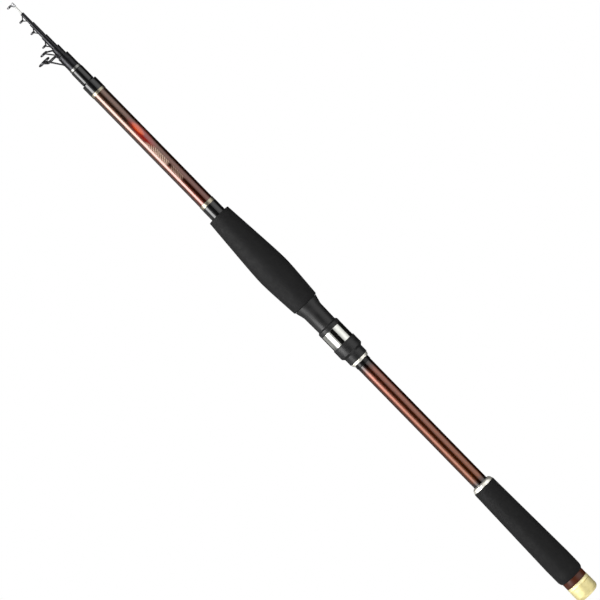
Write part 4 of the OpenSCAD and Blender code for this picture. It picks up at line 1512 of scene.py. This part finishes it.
@dataclass
class Telescope:
    """The sections that draw out of the butt, with what is fixed on their tops."""

    butt: Span = measured("butt_blank")
    # From the first section to the tip.
    lock_r: tuple[float, ...] = (6.66, 5.07, 3.58, 2.515, 1.75, 1.085)
    top_r: tuple[float, ...] = (5.91, 4.32, 3.055, 2.24, 1.525, 0.86)
    walls: tuple[float, ...] = (0.8, 0.7, 0.5, 0.45, 0.4)
    wires: tuple[float, ...] = (1.3, 1.1, 0.9, 0.9, 0.8, 0.7)
    front_feet: tuple[float, ...] = (1.2, 1, 4, 4, 2)
    rear_feet: tuple[float, ...] = (7, 6.5, 11, 11, 8.5)
    first_turns: Pair = (48, 75)  # front legs of the first guide
    first_bends: tuple[tuple[float, float, float], ...] = ((0.6, 0.1, 0.7), (0.62, 0.75, 1.3))
    first_lap: float = 120  # locking taper of the first section
    lap_step: float = 13  # by which each next one is shorter
    hidden: float = 3  # straight run of a top inside the tube before it
    stop_shoulder: Pair = (1.2, 0.7)
    band_shoulder: Pair = (0.5, 0.3)
    edge: float = 0.1
    edge_steps: int = 2

    def build(self) -> None:
        """Builds the five tubes with their guides, the stop collar and the tip."""
        mouth = self.butt.end
        for k, wall in enumerate(self.walls):
            number = k + 1
            Section(number, self.lock_r[k], self.top_r[k], wall, self.lap(k), mouth - self.hidden).build()
            guide = LineGuide(f"guide_{number}_frame", f"guide_{number}_ring", self.top_r[k], self.wires[k],
                              self.front_feet[k], self.rear_feet[k])
            if k == 0:
                guide.front_turns, guide.bends = self.first_turns, self.first_bends
            mouth = Span.of(f"section_{number}").end
            guide.build(f"guide_{number}", SECTION_BODIES[k], mouth)
        self.stop()
        self.tip(mouth)

    def lap(self, k: int) -> float:
        """Length of a section's locking taper."""
        return self.first_lap - self.lap_step * k

    def stop(self) -> None:
        """Builds the stop collar of the first section and its trim ring."""
        inner = self.top_r[0] + GLUE
        Workpiece("stop_turns").turn(ring_outline(Span.of("stop_collar"), inner, self.stop_shoulder)).dress(
            WRAP, Slot.WRAP, Body.SECTION_1, "stop_collar")
        Workpiece("stop_band").turn(ring_outline(Span.of("stop_trim"), inner, self.band_shoulder)).dress(
            STOP_METAL, Slot.GOLD, Body.SECTION_1, "stop_trim")

    def tip(self, mouth: float) -> None:
        """Builds the solid tip and its end fitting.

        Args:
            mouth: Station of the last section's top.
        """
        rod, top_r = Span.of("tip_section"), self.top_r[-1]
        lap_end = rod.start + self.lap(len(self.walls))
        outline = [(rod.start, 0), (rod.start, rod.reach), (lap_end, self.lock_r[-1]), (mouth, top_r),
                   (rod.end, top_r), (rod.end, 0)]
        Workpiece("tip_rod").turn(outline, closed=False).ease(self.edge, self.edge_steps).dress(
            WHITE_ROD, Slot.TIP, Body.TIP, "tip_section")
        fitting = TipTop("tip_top", "tip_top_ring", top_r, self.wires[-1])
        fitting.build("tip", Body.TIP, fitting.frame.end)


@dataclass
class Softbox:
    """A soft light. Its angles are off the zenith, towards the guides unless it faces another way."""

    name: str
    from_deg: float
    to_deg: float
    distance: float
    length: float
    glow: float  # radiance in its middle
    centre_x: float = 0.45  # station of its middle
    rim: float = 1.0  # share of the glow at its long edges
    along: tuple[Pair, ...] = ()  # stations, and shares of the glow there
    facing_deg: float = 0  # turn of the light about the upright

    def build(self) -> None:
        """Hangs the light."""
        middle = math.radians((self.from_deg + self.to_deg) / 2)
        width = 2 * self.distance * math.tan(math.radians(abs(self.to_deg - self.from_deg)) / 2)
        lamp = bpy.data.lights.new(self.name, "AREA")
        lamp.shape = "RECTANGLE"
        lamp.size, lamp.size_y = self.length, width
        lamp.energy = self.glow * math.pi * self.length * width
        self.grade(lamp)
        light = bpy.data.objects.new(self.name, lamp)
        light.matrix_world = (Matrix.Translation((self.centre_x, 0, 0))
                              @ Matrix.Rotation(math.radians(self.facing_deg), 4, "Z")
                              @ Matrix.Rotation(-middle, 4, "X") @ Matrix.Translation((0, 0, self.distance)))
        light.visible_camera = False
        bpy.context.scene.collection.objects.link(light)
        LOG.info("%s hung", self.name)

    def grade(self, lamp: bpy.types.Light) -> None:
        """Shades the light along the rod and towards its long edges.

        Args:
            lamp: The light.
        """
        lamp.use_nodes = True
        graph = Graph(lamp.node_tree)
        place = graph.add("ShaderNodeNewGeometry").outputs["Parametric"]
        x, y, _ = graph.add("ShaderNodeSeparateXYZ", {0: place}).outputs
        # From 0 along the light's middle to 1 at its long edges.
        edge = graph.sum("ABSOLUTE", graph.sum("MULTIPLY_ADD", y, 2.0, -1.0))
        glow = graph.span(edge, 0, 1, 1, self.rim)
        if self.along:
            rear = self.centre_x - self.length / 2
            stops = (((station - rear) / self.length, (share,) * 3) for station, share in self.along)
            glow = graph.sum("MULTIPLY", glow, graph.ramp(x, *stops))
        graph.feed(graph.tree.nodes["Emission"].inputs["Strength"], glow)


@dataclass
class Studio:
    """Pale floor, soft lights and the camera over the rod."""

    foam: Span = measured("foregrip")
    floor_gap: float = 0.0001  # between the thickest grip and the floor
    floor_size: float = 16
    floor_glow: float = 1.0  # also of the room behind the floor
    floor_rough: float = 0.9
    room: float = 0.6  # light of the surroundings
    room_gloss: float = 0.006  # their light in the gloss
    end_gloss: float = 0.45  # light of the room's two ends in the gloss
    end_reach: Pair = (0.4, 0.7)  # shares of the way to an end where its light starts and is full
    end_rise: Pair = (-0.2, 0.7)  # heights between which it comes up
    middle_x: float = 0.4
    eye: tuple[float, float, float] = (0.4141, 0.0013, 3.2)  # the camera's place
    turn_deg: float = 225.6527  # turn of the picture
    lens: float = 191.3  # millimetres, as Blender has it
    sensor: float = 36  # millimetres
    lights: tuple[Softbox, ...] = (
        Softbox("key_strip", 41, 75, 1.2, 1.6, 12.3, 0.5, rim=0.75,
                along=((0.10, 0.24), (0.17, 0.29), (0.25, 0.50), (0.30, 0.61), (0.55, 0.80), (0.68, 0.98))),
        Softbox("key_box", 24, 92, 1.5, 3.0, 0.8),
        Softbox("side_box", -18, -88, 1.5, 3.0, 1.8, rim=0.5),
        Softbox("bounce", 95, 136, 1.5, 3.0, 0.5,
                along=((-0.15, 1.0), (-0.05, 0.5), (0.22, 0.5), (0.31, 1.0))),
        Softbox("end_box", 60, 125, 0.35, 0.4, 1.7, 0.0, facing_deg=90),
    )

    def build(self) -> None:
        """Sets the floor, the lights, the surroundings and the camera."""
        self.floor()
        for light in self.lights:
            light.build()
        self.surroundings()
        self.camera()

    def floor(self) -> None:
        """Lays the pale floor. The light that it throws back comes from the bounce below it."""
        mesh = bmesh.new()
        level = -(self.foam.reach * MM + self.floor_gap)
        bmesh.ops.create_grid(mesh, x_segments=1, y_segments=1, size=self.floor_size / 2,
                              matrix=Matrix.Translation((self.middle_x, 0, level)))
        data = bpy.data.meshes.new("floor")
        mesh.to_mesh(data)
        mesh.free()
        paint = Paint("pale floor")
        paint.dress(Base_Color=(0.0, 0.0, 0.0), Roughness=self.floor_rough, Specular_IOR_Level=0.0,
                    Emission_Color=(1.0, 1.0, 1.0), Emission_Strength=self.floor_glow)
        data.materials.append(paint.material)
        floor = bpy.data.objects.new("floor", data)
        bpy.context.scene.collection.objects.link(floor)
        floor.visible_glossy = floor.visible_diffuse = floor.visible_shadow = False

    def surroundings(self) -> None:
        """Makes the room pale for the eye, and dim in the gloss apart from its two ends."""
        world = bpy.data.worlds.new("room")
        world.use_nodes = True
        graph = Graph(world.node_tree)
        rays = graph.add("ShaderNodeLightPath").outputs
        back = graph.tree.nodes["Background"]
        graph.feed(back.inputs["Color"], (1, 1, 1))
        seen = graph.span(rays["Is Camera Ray"], 0, 1, self.room, self.floor_glow)
        way = graph.add("ShaderNodeTexCoord").outputs["Generated"]
        x, _, z = graph.add("ShaderNodeSeparateXYZ", {0: way}).outputs
        end = graph.span(graph.sum("ABSOLUTE", x), *self.end_reach, 0, self.end_gloss / self.room)
        high = graph.span(z, *self.end_rise)
        gloss = graph.sum("ADD", graph.sum("MULTIPLY", end, high), self.room_gloss / self.room)
        share = graph.span(rays["Is Glossy Ray"], 0, 1, 1, gloss)
        graph.feed(back.inputs["Strength"], graph.sum("MULTIPLY", seen, share))
        bpy.context.scene.world = world

    def camera(self) -> None:
        """Hangs the camera over the rod, turned as the photograph is."""
        data = bpy.data.cameras.new("camera")
        data.lens, data.sensor_width = self.lens, self.sensor
        camera = bpy.data.objects.new("camera", data)
        camera.location = self.eye
        camera.rotation_euler = (0, 0, math.radians(self.turn_deg))
        bpy.context.scene.collection.objects.link(camera)
        bpy.context.scene.camera = camera
        bpy.context.scene.view_settings.view_transform = "Standard"


def main() -> None:
    """Builds the rod from the butt to the tip, then the studio."""
    logging.basicConfig(level=logging.INFO, format="%(message)s")
    for assembly in (ButtCap(), Butt(), RearGrip(), ReelSeat(), Foregrip(), Telescope(), Studio()):
        assembly.build()
        LOG.info("%s done", type(assembly).__name__)


if __name__ == "__main__":
    main()
